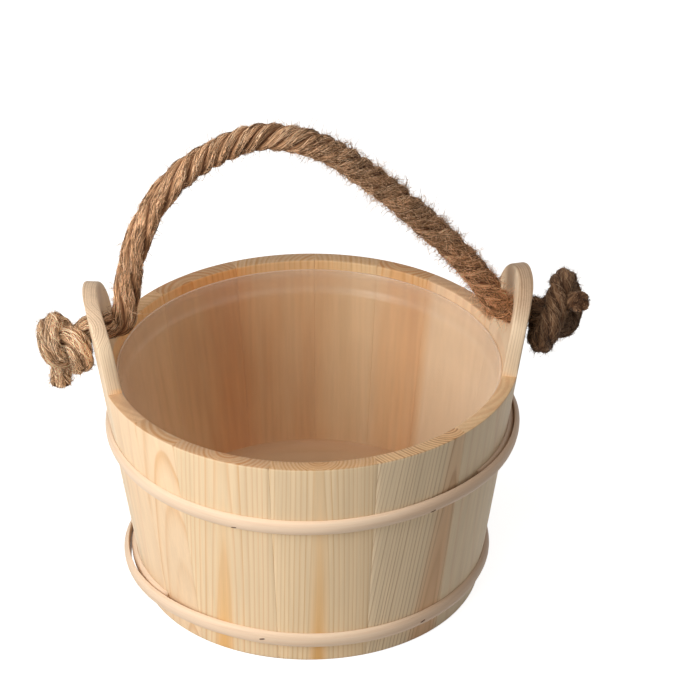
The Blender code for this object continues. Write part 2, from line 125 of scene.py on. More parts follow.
class Shader:
    """The nodes of a material or world, laid out by short calls that return sockets."""

    def __init__(self, name, kind="materials", surface="Principled BSDF"):
        self.owner = getattr(bpy.data, kind).new(name)
        self.owner.use_nodes = True
        self.tree = self.owner.node_tree
        self.surface = self.tree.nodes[surface]

    def put(self, socket, value):
        if isinstance(value, bpy.types.NodeSocket):
            self.tree.links.new(value, socket)
        else:
            socket.default_value = (*value, 1.0) if socket.type == "RGBA" else value

    def node(self, kind, inputs=None, **settings):
        node = self.tree.nodes.new("ShaderNode" + kind)
        for key, value in settings.items():
            setattr(node, key, value)
        for key, value in (inputs or {}).items():
            self.put(node.inputs[key], value)
        return node

    def attribute(self, name, output="Fac"):
        return self.node("Attribute", attribute_name=name).outputs[output]

    def place(self):
        return self.node("TexCoord").outputs["Object"]

    def seen(self):
        """1 for camera, glossy and transmission rays."""
        path = self.node("LightPath").outputs
        seen = self.math("MAXIMUM", path["Is Camera Ray"], path["Is Glossy Ray"])
        return self.math("MAXIMUM", seen, path["Is Transmission Ray"])

    def math(self, operation, first, second=0.0, third=0.0, clamp=False):
        inputs = {0: first, 1: second, 2: third}
        return self.node("Math", inputs, operation=operation, use_clamp=clamp).outputs[0]

    def times(self, first, second, clamp=False):
        return self.math("MULTIPLY", first, second, clamp=clamp)

    def vector(self, operation, first, second=(0, 0, 0), scale=1.0, output=0):
        inputs = {0: first, 1: second, 3: scale}
        return self.node("VectorMath", inputs, operation=operation).outputs[output]

    def stretch(self, vector, factors):
        return self.vector("MULTIPLY", vector, factors)

    def scaled(self, vector, factor):
        return self.vector("SCALE", vector, scale=factor)

    def dot(self, vector, axis):
        return self.vector("DOT_PRODUCT", vector, axis, output=1)

    def noise(self, vector, scale, detail=2.0, roughness=0.5, output="Fac"):
        inputs = {"Vector": vector, "Scale": scale, "Detail": detail, "Roughness": roughness}
        return self.node("TexNoise", inputs).outputs[output]

    def noise_along(self, value, scale, detail=1.0):
        inputs = {"W": value, "Scale": scale, "Detail": detail}
        return self.node("TexNoise", inputs, noise_dimensions="1D").outputs["Fac"]

    def chance(self, value):
        return self.node("TexWhiteNoise", {"W": value}, noise_dimensions="1D").outputs["Value"]

    def ramp(self, factor, stops):
        node = self.node("ValToRGB", {"Fac": factor})
        elements = node.color_ramp.elements
        while len(elements) < len(stops):
            elements.new(0.5)
        for element, (position, colour) in zip(elements, stops):
            element.position = position
            element.color = (*colour, 1.0) if isinstance(colour, tuple) else (colour, colour, colour, 1.0)
        return node.outputs["Color"]

    def spread(self, value, low, high, to_low=0.0, to_high=1.0):
        inputs = {"Value": value, "From Min": low, "From Max": high, "To Min": to_low, "To Max": to_high}
        return self.node("MapRange", inputs).outputs["Result"]

    def mix(self, factor, first, second, blend="MIX"):
        inputs = {0: factor, 6: first, 7: second}
        return self.node("Mix", inputs, data_type="RGBA", blend_type=blend).outputs[2]

    def bump(self, height, strength, distance):
        inputs = {"Height": height, "Strength": strength, "Distance": distance}
        return self.node("Bump", inputs).outputs["Normal"]

    def dress(self, colour, rough, normal, specular, **others):
        return self.finish(
            Base_Color=colour, Roughness=rough, Normal=normal, Specular_IOR_Level=specular, **others
        )

    def finish(self, **sockets):
        """Sets the surface's sockets, by names with _ for spaces."""
        for key, value in sockets.items():
            self.put(self.surface.inputs[key.replace("_", " ")], value)
        return self.owner


# Camera and stage

CAMERA_PLACE = (-0.14408, -2.11368, 1.42799)
CAMERA_FORWARD = (0.06624513, 0.85645561, -0.5119525)
CAMERA_ROLL = math.radians(-0.2778)
CAMERA_REACH = 50.0
SENSOR_WIDTH = 36.0
# The photograph's focal length and width, in its pixels
FOCAL_PIXELS = 4000.0
PHOTO_PIXELS = 680.0
AMBIENT = 0.24
AMBIENT_COLOUR = (1.0, 0.935, 0.865)
FLOOR_TONE = 0.52
FLOOR_MOTTLE = 0.01
FLOOR_GLOW = 0.88
FLOOR_REACH = 6.0
LIGHT_COLOUR = (1.0, 0.965, 0.92)
LIGHT_AIM = (0.0, 0.0, 0.13)
# Each light's name, place, size and power
LIGHTS = (("key", (-0.70, -0.54, 0.56), 0.5, 6.9), ("top", (-0.15, -0.75, 2.10), 1.0, 13.6))


def add_object(name, data):
    thing = bpy.data.objects.new(name, data)
    bpy.context.scene.collection.objects.link(thing)
    return thing


def add_camera():
    """The photograph's view: a long lens from the front, above and a little to the left."""
    forward = Vector(CAMERA_FORWARD).normalized()
    level = forward.cross(Vector(UPRIGHT)).normalized()
    upright = level.cross(forward)
    right = math.cos(CAMERA_ROLL) * level + math.sin(CAMERA_ROLL) * upright
    up = math.cos(CAMERA_ROLL) * upright - math.sin(CAMERA_ROLL) * level
    data = bpy.data.cameras.new("camera")
    data.sensor_width = SENSOR_WIDTH
    data.lens = FOCAL_PIXELS * SENSOR_WIDTH / PHOTO_PIXELS
    data.clip_end = CAMERA_REACH
    camera = add_object("camera", data)
    camera.matrix_world = Matrix.Translation(CAMERA_PLACE) @ Matrix((right, up, -forward)).transposed().to_4x4()
    bpy.context.scene.camera = camera


def add_light(name, place, size, power):
    data = bpy.data.lights.new(name, "AREA")
    data.shape = "RECTANGLE"
    data.size = data.size_y = size
    data.energy = power
    data.color = LIGHT_COLOUR
    light = add_object(name, data)
    light.location = place
    light.visible_camera = False
    light.rotation_mode = "QUATERNION"
    light.rotation_quaternion = (Vector(LIGHT_AIM) - Vector(place)).to_track_quat("-Z", "Y")


def add_stage():
    """A plain white floor and backdrop, with soft light from the left."""
    bpy.context.scene.view_settings.view_transform = "Standard"
    sky = Shader("studio", "worlds", "Background")
    seen = sky.seen()
    colour = sky.mix(seen, AMBIENT_COLOUR, WHITE)
    bpy.context.scene.world = sky.finish(Color=colour, Strength=sky.spread(seen, 0.0, 1.0, AMBIENT, 1.0))

    shader = Shader("floor")
    mottle = [(0.0, FLOOR_TONE - FLOOR_MOTTLE), (1.0, FLOOR_TONE + FLOOR_MOTTLE)]
    tone = shader.ramp(shader.noise(shader.place(), 3.0), mottle)
    shader.finish(Base_Color=tone, Roughness=1.0, Specular_IOR_Level=0.0)
    shader.finish(Emission_Color=WHITE, Emission_Strength=shader.times(shader.seen(), FLOOR_GLOW))
    mesh = bpy.data.meshes.new("floor")
    corners = [(x * FLOOR_REACH, y * FLOOR_REACH, 0) for x, y in ((-1, -1), (1, -1), (1, 1), (-1, 1))]
    mesh.from_pydata(corners, [], [(0, 1, 2, 3)])
    mesh.materials.append(shader.owner)
    floor = add_object("floor", mesh)
    for light in LIGHTS:
        add_light(*light)


# Meshes


def set_attributes(mesh, attributes):
    for key, values in attributes.items():
        values = np.asarray(values, np.float32)
        kind, field = ("FLOAT_VECTOR", "vector") if values.ndim == 2 else ("FLOAT", "value")
        mesh.attributes.new(key, kind, "POINT").data.foreach_set(field, values.ravel())


def add_piece(name, points, faces, material, body, nodes=(), attributes=None, sharp=None):
    """A mesh piece of the object, on a body and in place of CAD nodes."""
    mesh = bpy.data.meshes.new(name)
    mesh.from_pydata(np.asarray(points, float).tolist(), [], [tuple(int(i) for i in face) for face in faces])
    mesh.validate()
    mesh.shade_smooth()
    if sharp is not None:
        mesh.set_sharp_from_angle(angle=math.radians(sharp))
    set_attributes(mesh, attributes or {})
    mesh.materials.append(material)
    piece = add_object(name, mesh)
    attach(piece, body)
    if nodes:
        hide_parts(*nodes)
    return piece


def band(first, second):
    """Quads between two closed rings of point numbers."""
    return list(zip(first, first[1:] + first[:1], second[1:] + second[:1], second))


def fan(tip, ring):
    """Triangles from a tip to a closed ring of point numbers."""
    return list(zip([tip] * len(ring), ring, ring[1:] + ring[:1]))


def ring_faces(count, size, start=0):
    """Quads between successive rings of size points."""
    rings = (start + np.arange(count * size)).reshape(count, size).tolist()
    return [quad for first, second in zip(rings, rings[1:]) for quad in band(first, second)]


def tube_faces(count, size):
    """A tube of successive rings, closed at both ends."""
    return ring_faces(count, size) + [range(size)[::-1], range(count * size - size, count * size)]


def catmull(points, spacing):
    """Points at about even distances on a smooth curve through the given ones."""
    points = np.asarray(points, float)
    ends = np.vstack([2 * points[0] - points[1], points, 2 * points[-1] - points[-2]])
    route = []
    for before, first, second, after in zip(ends, ends[1:], ends[2:], ends[3:]):
        count = max(1, round(np.linalg.norm(second - first) / spacing))
        t = (np.arange(count) / count)[:, None]
        curve = 2 * first + (second - before) * t
        curve += (2 * before - 5 * first + 4 * second - after) * t**2
        curve += (3 * first - before - 3 * second + after) * t**3
        route.append(curve / 2)
    return np.vstack([*route, points[-1:]])


def even(points, spacing):
    """The same line with its points at exactly even distances, and those distances."""
    steps = np.linalg.norm(np.diff(points, axis=0), axis=1)
    along = np.concatenate([[0.0], np.cumsum(steps)])
    at = np.linspace(0.0, along[-1], max(2, round(along[-1] / spacing)) + 1)
    return interpolate(at, along, points), at


# Pine

END_CONTRAST = 1.7
STREAK_TONE = 0.05

CREAM = (0.885, 0.690, 0.455)
PEACH = (0.915, 0.690, 0.460)
IVORY = (0.860, 0.700, 0.490)
SHELL = (0.910, 0.725, 0.515)
GOLD = (0.70, 0.44, 0.19)
AMBER = (0.74, 0.43, 0.19)
ROSE = (0.66, 0.40, 0.25)
UMBER = (0.49, 0.305, 0.165)

# Each stave's wood: ring spacing, early and late colours, contrast, where the pith lies from the middle of the outer
# face (across, in depth), how the pith leans in depth and across, in degrees, any heartwood stain (tint, inner and
# outer radius, strength), the tint of the end grain and the slot
WOODS = {
    "stave_front_1": (
        0.0046, (0.845, 0.685, 0.478), ROSE, 0.34, (0.012, 0.050), (3.0, 1.0), None, (0.88, 0.74, 0.60), "pine_grey"),
    "stave_front_2": (
        0.0022, (0.875, 0.712, 0.492), UMBER, 0.82, (0.0192, 0.0114), (-2.3, 4.2),
        ((0.83, 0.65, 0.54), 0.0098, 0.0156, 0.92), (0.88, 0.73, 0.59), "pine_grey"),
    "stave_front_3": (
        0.0021, CREAM, GOLD, 0.72, (-0.0025, 0.0095), (-0.6, 0.0),
        ((0.95, 0.73, 0.44), 0.0088, 0.0108, 1.0), (0.73, 0.61, 0.53), "pine_pale"),
    "stave_front_4": (
        0.0026, CREAM, AMBER, 0.66, (-0.0033, 0.0108), (-0.9, 4.0),
        ((0.96, 0.74, 0.46), 0.0096, 0.0122, 1.0), (0.68, 0.57, 0.51), "pine_honey"),
    "stave_front_5": (
        0.0040, PEACH, AMBER, 0.62, (0.0062, 0.0190), (-5.5, 0.0), None, (0.66, 0.57, 0.50), "pine_pale"),
    "stave_front_6": (
        0.0058, PEACH, ROSE, 0.26, (-0.020, 0.055), (3.0, 1.0), None, (0.72, 0.61, 0.52), "pine_honey"),
    "stave_ear_right": (
        0.0016, SHELL, UMBER, 0.62, (-0.010, 0.160), (0.5, 0.5), None, (0.70, 0.63, 0.60), "pine_pale"),
    "stave_ear_left": (
        0.0015, SHELL, UMBER, 0.72, (0.010, 0.160), (0.5, -0.5), None, (0.90, 0.86, 0.86), "pine_pale"),
    "stave_back_1": (
        0.0050, PEACH, ROSE, 0.40, (-0.020, 0.045), (4.0, 1.0), None, (0.70, 0.59, 0.51), "pine_pink"),
    "stave_back_2": (
        0.0030, CREAM, AMBER, 0.85, (0.004, -0.002), (2.5, 0.0),
        ((0.96, 0.74, 0.52), 0.006, 0.014, 0.9), (0.68, 0.55, 0.45), "pine_honey"),
    "stave_back_3": (
        0.0030, CREAM, GOLD, 0.60, (0.040, 0.020), (2.0, 1.0), None, (0.72, 0.61, 0.53), "pine_pale"),
    "stave_back_4": (
        0.0030, IVORY, GOLD, 0.60, (-0.030, 0.024), (1.6, -1.0), None, (0.70, 0.58, 0.50), "pine_pink"),
    "stave_back_5": (
        0.0034, CREAM, AMBER, 0.80, (0.006, 0.016), (-2.5, 1.0),
        ((0.92, 0.72, 0.54), 0.010, 0.020, 0.8), (0.61, 0.49, 0.41), "pine_honey"),
    "stave_back_6": (
        0.0036, PEACH, GOLD, 0.50, (0.020, 0.026), (3.0, 0.0), None, (0.70, 0.58, 0.48), "pine_pale"),
}

# Tint of the staves' inner faces by direction round the bucket, in degrees: browned bands where the wet tub lies
# against them, and painted light on the left side of the inside, which the key lamp leaves in shade; from about 124
# degrees round to 205 the tint brightens and pinks the wood, above 1 in places
INNER_TINTS_AND_LIGHT = (
    (-90.0, (1.0, 0.86, 0.68)), (-30.0, (1.0, 0.90, 0.76)), (10.0, (0.98, 0.94, 0.94)), (43.0, (0.98, 0.94, 0.93)),
    (47.0, (0.94, 0.75, 0.57)), (58.0, (0.95, 0.76, 0.57)), (66.0, (0.98, 0.92, 0.83)), (76.0, (0.97, 0.86, 0.72)),
    (84.0, (0.94, 0.76, 0.58)), (92.0, (0.94, 0.75, 0.57)), (103.0, (0.96, 0.74, 0.54)), (108.0, (0.94, 0.61, 0.36)),
    (117.0, (0.94, 0.61, 0.36)), (124.0, (1.0, 0.77, 0.55)), (138.0, (1.12, 0.94, 0.76)), (156.0, (1.22, 1.07, 0.97)),
    (180.0, (1.24, 1.08, 1.00)), (205.0, (1.15, 1.02, 0.90)),
)
# What the dry wood above the tub's lip loses of that tint, and so of its painted light, round the left ear, where it
# fades in and out, in degrees
DRY_LOSS = (0.04, 0.10, 0.28)
DRY_FROM = (126.0, 150.0)
DRY_TO = (240.0, 205.0)

# A knot near the front edge of the left ear: its place (across, height), its reach and its pull on the grain
EAR_KNOT = (0.034, 0.203)
EAR_KNOT_REACH = (0.024, 0.021)
EAR_KNOT_PULL = 0.012
EAR_FACE_CALM = 0.62
LEFT_EAR_END_CALM = 0.45

# Between which values a stave's points turn to end grain, by how far they face along it, and heights at which its
# inner face turns to wood soaked behind the tub, ends below the bottom boards and ends above the rim
END_FACING = (0.30, 0.70)
SOAK_EDGE = (LIP_TOP + 0.0005, LIP_TOP - 0.0025)
INNER_FOOT = (BOTTOM_TOP - 0.012, BOTTOM_TOP - 0.004)
INNER_TOP = BODY_HEIGHT + 0.002

STAVE_SHARP = 50.0
JOINT_ROUND = 0.00018
JOINT_GAP = 0.00006
RIM_ROUND = 0.0008
EAR_ROUND = 0.0011
HOLE_ROUND = 0.0009
SLANT = 1 - math.sqrt(0.5)
# Rows of points near a stave's ends
END_ROW = 0.002
NEXT_ROW = 0.006
STAVE_ROWS = 24
COLUMN_DEGREES = 1.3
# Height at which an ear's plain grid gives way to rings round the hole, and over which its edges become rounder
EAR_SPLIT = BODY_HEIGHT + 0.001
EAR_EDGE_FADE = 0.004
EAR_ROWS = 26
EAR_COLUMNS = 33
EAR_SIDE_ROWS = 7
CROWN_STEPS = 44
HOLE_RINGS = (0.0, 0.18, 0.36, 0.54, 0.72, 0.87)


def growth_rings(shader, grain, slow, flat, wander, spacing, uneven, faintest):
    """Rings about a pith: the grain as it wanders, the radius, the phase within a ring and the ring's strength.
    slow draws the wander out along the pith, flat leaves that direction out, wander is (noise scale, reach)."""
    scale, reach = wander
    sway = shader.noise(shader.stretch(grain, slow), scale, 2.0, 0.45, "Color")
    sway = shader.vector("SUBTRACT", sway, (0.5, 0.5, 0.5))
    bent = shader.vector("ADD", grain, shader.scaled(sway, reach))
    radius = shader.vector("LENGTH", shader.stretch(bent, flat), output=1)
    uneven = shader.times(shader.noise_along(radius, 110.0), uneven)
    turns = shader.math("ADD", shader.math("DIVIDE", radius, spacing), uneven)
    strength = shader.spread(shader.chance(shader.math("FLOOR", turns)), 0.0, 1.0, faintest, 1.0)
    return bent, radius, shader.math("FRACT", turns), strength


def pine(name, spacing, early, late, contrast, stain, end_tint):
    """Solid pine: growth rings about the pith along Z of the grain coordinates, so that faces, edges and end
    grain agree. Behind the tub the wood is soaked, so that its rings run together into soft bands that cross the
    joints."""
    shader = Shader(name)
    grain, inner_tint_and_light = (shader.attribute(key, "Vector") for key in ("grain", "inner_tint_and_light"))
    end, inner, soaked, calm = (shader.attribute(key) for key in ("end", "inner", "soaked", "calm"))
    _, radius, phase, strength = growth_rings(
        shader, grain, (1.0, 1.0, 0.20), (1.0, 1.0, 0.0), (22.0, 0.0035), spacing, 1.3, 0.35
    )
    fibre = shader.stretch(grain, (1.0, 1.0, 0.018))
    streak = shader.noise(fibre, 1400.0, 3.0, 0.6)
    broad_streak = shader.noise(fibre, 260.0)
    patch = shader.noise(shader.stretch(grain, (1.0, 1.0, 0.3)), 38.0)
    # Thin dark lines in the faces, broader ones in the end grain
    thin = [(0.0, 0.30), (0.08, 0.02), (0.50, 0.05), (0.72, 0.40), (0.88, 1.0), (0.95, 0.95), (1.0, 0.45)]
    broad = [(0.0, 0.55), (0.10, 0.05), (0.42, 0.10), (0.60, 0.80), (0.80, 1.0), (1.0, 0.75)]
    dark = shader.mix(end, shader.ramp(phase, thin), shader.ramp(phase, broad))
    amount = shader.times(dark, strength)
    amount = shader.times(amount, shader.spread(end, 0.0, 1.0, contrast, contrast * END_CONTRAST))
    amount = shader.times(amount, shader.math("SUBTRACT", 1.0, calm))
    amount = shader.times(amount, shader.spread(patch, 0.3, 0.7, 0.75, 1.15), clamp=True)
    colour = shader.mix(amount, early, late)
    if stain:
        tint, low, high, weight = stain
        heart = shader.spread(radius, high, low, 0.0, weight)
        heart = shader.times(heart, shader.spread(end, 0.0, 1.0, 1.0, 0.25))
        colour = shader.mix(heart, colour, tint, "MULTIPLY")
    bands = shader.noise(shader.stretch(shader.place(), (1.0, 1.0, 0.018)), 75.0)
    bands = shader.spread(bands, 0.32, 0.68, 0.0, 0.45)
    browned = shader.spread(shader.dot(inner_tint_and_light, (0.0, 0.0, 1.0)), 0.92, 0.50, 0.1, 1.0)
    wet = shader.times(shader.math("MULTIPLY_ADD", amount, 0.12, bands), browned)
    colour = shader.mix(soaked, colour, shader.mix(wet, CREAM, AMBER))
    light = shader.spread(broad_streak, 0.3, 0.7, 1.0 - STREAK_TONE, 1.0 + STREAK_TONE)
    light = shader.times(light, shader.spread(streak, 0.25, 0.75, 0.955, 1.035))
    light = shader.times(light, shader.spread(patch, 0.25, 0.75, 1.0 - STREAK_TONE, 1.0 + STREAK_TONE * 0.6))
    colour = shader.scaled(colour, light)
    pores = shader.noise(shader.stretch(grain, (1.0, 1.0, 0.15)), 1900.0)
    rough_end = shader.scaled(end_tint, shader.spread(pores, 0.3, 0.7, 0.86, 1.09))
    colour = shader.mix(end, colour, shader.stretch(colour, rough_end))
    # Painted light and browning: the inner faces take the inner tint, which brightens the shaded left side of the
    # inside
    colour = shader.mix(inner, colour, shader.stretch(colour, inner_tint_and_light))
    height = shader.math("MULTIPLY_ADD", amount, 0.5, shader.times(streak, 0.5))
    normal = shader.bump(height, 0.22, 0.00025)
    rough = shader.spread(streak, 0.2, 0.8, 0.48, 0.64)
    return shader.dress(colour, rough, normal, 0.3)


def on_wall(middle, across, height, depth):
    """A point of the wall: across is arc length at the reference radius, depth is inward from the outer face."""
    angle = middle + across / REFERENCE_RADIUS
    radius = outer_radius(height) - depth
    return np.stack([radius * np.cos(angle), radius * np.sin(angle), height], -1)


def plate_solid(points, quads, loops, radii):
    """A plate with rounded edges: returns (across, height, depth) rows and faces. loops are ordered boundaries with
    the plate on their left, radii the edge radius at each of their points."""
    count = len(points)
    moved = points.copy()
    faces = quads + [[count + i for i in quad[::-1]] for quad in quads]
    edge_rows = []
    start = 2 * count
    for loop, radius in zip(loops, radii):
        here, size = points[loop], len(loop)
        edges = unit(np.stack([here - np.roll(here, 1, 0), np.roll(here, -1, 0) - here]))
        normal = np.stack([-edges[..., 1], edges[..., 0]], -1).sum(0)
        normal /= np.maximum(0.6, np.linalg.norm(normal, axis=1, keepdims=True) ** 2 / 2)
        moved[loop] = here + normal * radius[:, None]
        rings = [loop]
        for inset, depth in (
            (SLANT * radius, SLANT * radius),
            (0 * radius, radius),
            (0 * radius, WALL - radius),
            (SLANT * radius, WALL - SLANT * radius),
        ):
            edge_rows.append(np.column_stack([here + normal * inset[:, None], depth]))
            rings.append(list(range(start, start + size)))
            start += size
        rings.append([count + i for i in loop])
        for first, second in zip(rings, rings[1:]):
            faces += band(second, first)
    flat = [np.column_stack([moved, np.full(count, depth)]) for depth in (0.0, WALL)]
    return np.vstack(flat + edge_rows), faces


def grid(across, heights):
    """Points of a flat grid, their numbers row by row, and its quads."""
    u, v = np.meshgrid(across, heights)
    numbers = np.arange(u.size).reshape(u.shape)
    corners = numbers[:-1, :-1], numbers[:-1, 1:], numbers[1:, 1:], numbers[1:, :-1]
    return np.column_stack([u.ravel(), v.ravel()]), numbers, np.stack(corners, -1).reshape(-1, 4).tolist()


def add_stave(name, middle, rows, faces):
    """Bends a plate onto the wall and gives it its own wood."""
    spacing, early, late, contrast, pith, lean, stain, end_tint, slot = WOODS[name]
    across, height, depth = rows.T
    points = on_wall(middle, across, height, depth)
    radial = np.array([math.cos(middle), math.sin(middle), 0.0])
    sideways = np.array([-math.sin(middle), math.cos(middle), 0.0])
    outward, along = wall_ways(radial)
    centre = radial * outer_radius(BODY_HEIGHT / 2) + UPRIGHT * BODY_HEIGHT / 2
    grain = (points - centre) @ np.stack([sideways, outward, along], 1)
    deep, wide = (math.tan(math.radians(angle)) for angle in lean)
    grain += np.outer(grain[:, 2], (-wide, -deep, 0.0)) + (-pith[0], pith[1], 0.0)
    left_ear = name == "stave_ear_left"
    if left_ear:
        # The grain swings inwards round a knot
        reach = np.hypot(*((np.stack([across, height], 1) - EAR_KNOT) / EAR_KNOT_REACH).T)
        grain[:, 1] += EAR_KNOT_PULL * ease(reach, 1.0, 0.15)
    material = pine(name, spacing, early, late, contrast, stain, end_tint)
    azimuth = np.degrees(np.arctan2(points[:, 1], points[:, 0]))
    # The inner tint by direction: browned bands, and painted light on the shaded left side
    ways, tints = zip(*INNER_TINTS_AND_LIGHT)
    inner_tint_and_light = np.stack([np.interp(azimuth, ways, channel, period=360.0) for channel in zip(*tints)], 1)
    behind_tub = ease(height, *SOAK_EDGE)
    dry = (1.0 - behind_tub) * ease(azimuth % 360.0, *DRY_FROM) * ease(azimuth % 360.0, *DRY_TO)
    inner_tint_and_light *= 1.0 - dry[:, None] * DRY_LOSS
    attributes = {"grain": grain, "inner_tint_and_light": inner_tint_and_light}
    piece = add_piece(f"{name}_wood", points, faces, material, "bucket", (name,), attributes, STAVE_SHARP)
    mesh = piece.data
    normals = np.empty(len(mesh.vertices) * 3, np.float32)
    mesh.vertices.foreach_get("normal", normals)
    normals = normals.reshape(-1, 3)
    end = np.clip((np.abs(normals @ along) - END_FACING[0]) / (END_FACING[1] - END_FACING[0]), 0.0, 1.0)
    inner = np.clip(depth / WALL * 1.4 - 0.3, 0.0, 1.0) * (1.0 - end) * (height < INNER_TOP)
    inner *= ease(height, *INNER_FOOT)
    # The ears' rings are faint in their broad faces, where they lie almost flat, and on the left ear's top
    calm = EAR_FACE_CALM * ease(np.abs(normals @ outward), 0.5, 0.9) * ("ear" in name)
    calm = np.maximum(calm, LEFT_EAR_END_CALM * end * left_ear)
    set_attributes(mesh, {"end": end, "inner": inner, "soaked": inner * behind_tub, "calm": calm})


def add_plain_staves(row, shares, start, direction):
    edge = start
    inside = np.linspace(NEXT_ROW, BODY_HEIGHT - NEXT_ROW, STAVE_ROWS)
    heights = np.concatenate([[0.0, END_ROW], inside, [BODY_HEIGHT - END_ROW, BODY_HEIGHT]])
    for number, share in enumerate(shares, 1):
        width = (math.pi - EAR_ANGLE) * share / sum(shares)
        half = width * REFERENCE_RADIUS / 2 - JOINT_GAP / 2
        columns = max(8, round(math.degrees(width) / COLUMN_DEGREES))
        points, numbers, quads = grid(np.linspace(-half, half, columns), heights)
        loop = [*numbers[0], *numbers[1:, -1], *numbers[-1, -2::-1], *numbers[-2:0:-1, 0]]
        ends = np.isin(points[loop][:, 1], (0.0, BODY_HEIGHT))
        rows, faces = plate_solid(points, quads, [loop], [np.where(ends, RIM_ROUND, JOINT_ROUND)])
        add_stave(f"stave_{row}_{number}", edge + direction * width / 2, rows, faces)
        edge += direction * width


def ear_plate():
    """The tall stave as a flat plate with its hole: points, quads, boundary loops and edge radii."""
    half = EAR_ANGLE / 2 * REFERENCE_RADIUS - JOINT_GAP / 2
    foot = BODY_HEIGHT + EAR_RISE - EAR_ROUND_DEPTH
    across = np.linspace(-half, half, EAR_COLUMNS)
    heights = np.concatenate([[0.0, END_ROW], np.linspace(NEXT_ROW, EAR_SPLIT, EAR_ROWS)])
    lower, numbers, quads = grid(across, heights)

    angles = np.linspace(0.0, math.pi, CROWN_STEPS + 1)
    side = np.copysign(np.abs(np.cos(angles)) ** (2 / EAR_SQUARENESS), np.cos(angles))
    crown = np.column_stack([half * side, foot + EAR_ROUND_DEPTH * np.sin(angles) ** (2 / EAR_SQUARENESS)])
    side_heights = np.linspace(EAR_SPLIT, foot, EAR_SIDE_ROWS)[1:-1]
    right = [(half, height) for height in side_heights]
    left = [(-half, height) for height in side_heights[::-1]]
    rim = np.vstack([[(value, EAR_SPLIT) for value in across], right, crown, left])

    # Rings from the hole out to the rim
    hole = np.array([0.0, HOLE_HEIGHT])
    circle = hole + unit(rim - hole) * HOLE_RADIUS * (REFERENCE_RADIUS / outer_radius(HOLE_HEIGHT), 1.0)
    upper = np.vstack([circle + (rim - circle) * share for share in HOLE_RINGS])
    points = np.vstack([lower, upper, rim[EAR_COLUMNS:]])
    size = len(rim)
    rings = (len(lower) + np.arange(len(upper))).reshape(-1, size).tolist()
    rest = list(range(len(lower) + len(upper), len(points)))
    rings.append(numbers[-1].tolist() + rest)
    for first, second in zip(rings, rings[1:]):
        quads += zip(first, second, second[1:] + second[:1], first[1:] + first[:1])

    outer = [*numbers[0], *numbers[1:, -1], *rest, *numbers[:0:-1, 0]]
    heights = points[outer][:, 1]
    exposed = np.clip((heights - EAR_SPLIT) / EAR_EDGE_FADE, 0.0, 1.0)
    radius = np.where(heights == 0.0, RIM_ROUND, JOINT_ROUND + exposed * (EAR_ROUND - JOINT_ROUND))
    return points, quads, [outer, rings[0][::-1]], [radius, np.full(size, HOLE_ROUND)]


def add_staves():
    add_plain_staves("front", FRONT_STAVES, -EAR_ANGLE / 2, -1)
    add_plain_staves("back", BACK_STAVES, EAR_ANGLE / 2, 1)
    rows, faces = plate_solid(*ear_plate())
    add_stave("stave_ear_right", 0.0, rows, faces)
    add_stave("stave_ear_left", math.pi, rows, faces)


# Hoops

HOOP_LENGTH = 2 * math.pi + LAP_ANGLE
HOOP_STEP = 1.5
HOOP_SECTION_STEPS = 15
HOOP_FULLNESS = 0.85
# Share of the thickness that the strip's edges stand, share of the width that its back is flat
HOOP_EDGE = 0.06
HOOP_BACK = 0.93
# Unevenness of a hand-split strip: two waves in thickness and its sway in height
HOOP_WAVES = (0.00012, 0.00008)
HOOP_SWAY = 0.0005
HOOP_SHARP = 60.0
# Painted shade on the strip's flat back, which lies against the wall, and the angle over which the cut tips darken
BACK_SHADE = 0.8
TIP_DARK_ANGLE = 0.012
# Painted shade: the hoops are darker and browner round the right-hand side, which the key lamp leaves in shade
SHADED_WAY = math.radians(-12.0)
# Half length, half width and half height of a brad's crown, its slant, and each one's direction and offset
BRAD_SIZE = (0.0018, 0.0005, 0.0003)
BRAD_SLANT = 0.25
BRAD_RINGS = 9
BRAD_SIDES = 12
BRADS = (
    ("upper", UPPER_HOOP, (-115.3, -58.1, 8.0, 66.0, 124.0), (-0.0028, -0.0026, -0.002, -0.0024, -0.002)),
    ("lower", LOWER_HOOP, (-109.4, -56.4, 2.0, 60.0, 118.0), (0.0006, -0.0004, 0.0004, -0.0006, 0.0)),
)


def hoop_wood(name):
    """Split wood with its grain along the strip: grain is (across, thickness, along)."""
    shader = Shader(name)
    grain = shader.attribute("grain", "Vector")
    long = shader.stretch(grain, (1.0, 1.0, 0.03))
    lines = shader.noise(long, 420.0, 3.0, 0.55)
    fine = shader.noise(long, 1700.0, 2.0, 0.6)
    patch = shader.noise(shader.stretch(grain, (1.0, 1.0, 0.25)), 45.0)
    stops = [
        (0.25, (0.735, 0.535, 0.377)), (0.45, (0.83, 0.635, 0.465)),
        (0.60, (0.845, 0.67, 0.505)), (0.80, (0.79, 0.597, 0.431)),
    ]
    colour = shader.ramp(lines, stops)
    colour = shader.mix(shader.spread(patch, 0.35, 0.7, 0.0, 0.35), colour, (0.86, 0.655, 0.49))
    light = shader.times(shader.spread(fine, 0.25, 0.75, 0.95, 1.03), shader.spread(patch, 0.3, 0.7, 0.96, 1.03))
    colour = shader.scaled(colour, light)
    # Darker at the cut tips, and painted shade on the flat back against the wall
    colour = shader.mix(shader.times(shader.attribute("dark_tips_shaded_back"), 0.75), colour, (0.50, 0.33, 0.20))
    # Painted shade round the right-hand side
    colour = shader.mix(shader.attribute("right_side_shade"), colour, (0.82, 0.77, 0.74), "MULTIPLY")
    normal = shader.bump(shader.math("MULTIPLY_ADD", lines, 0.6, shader.times(fine, 0.4)), 0.25, 0.0003)
    rough = shader.spread(fine, 0.2, 0.8, 0.40, 0.56)
    return shader.dress(colour, rough, normal, 0.35)


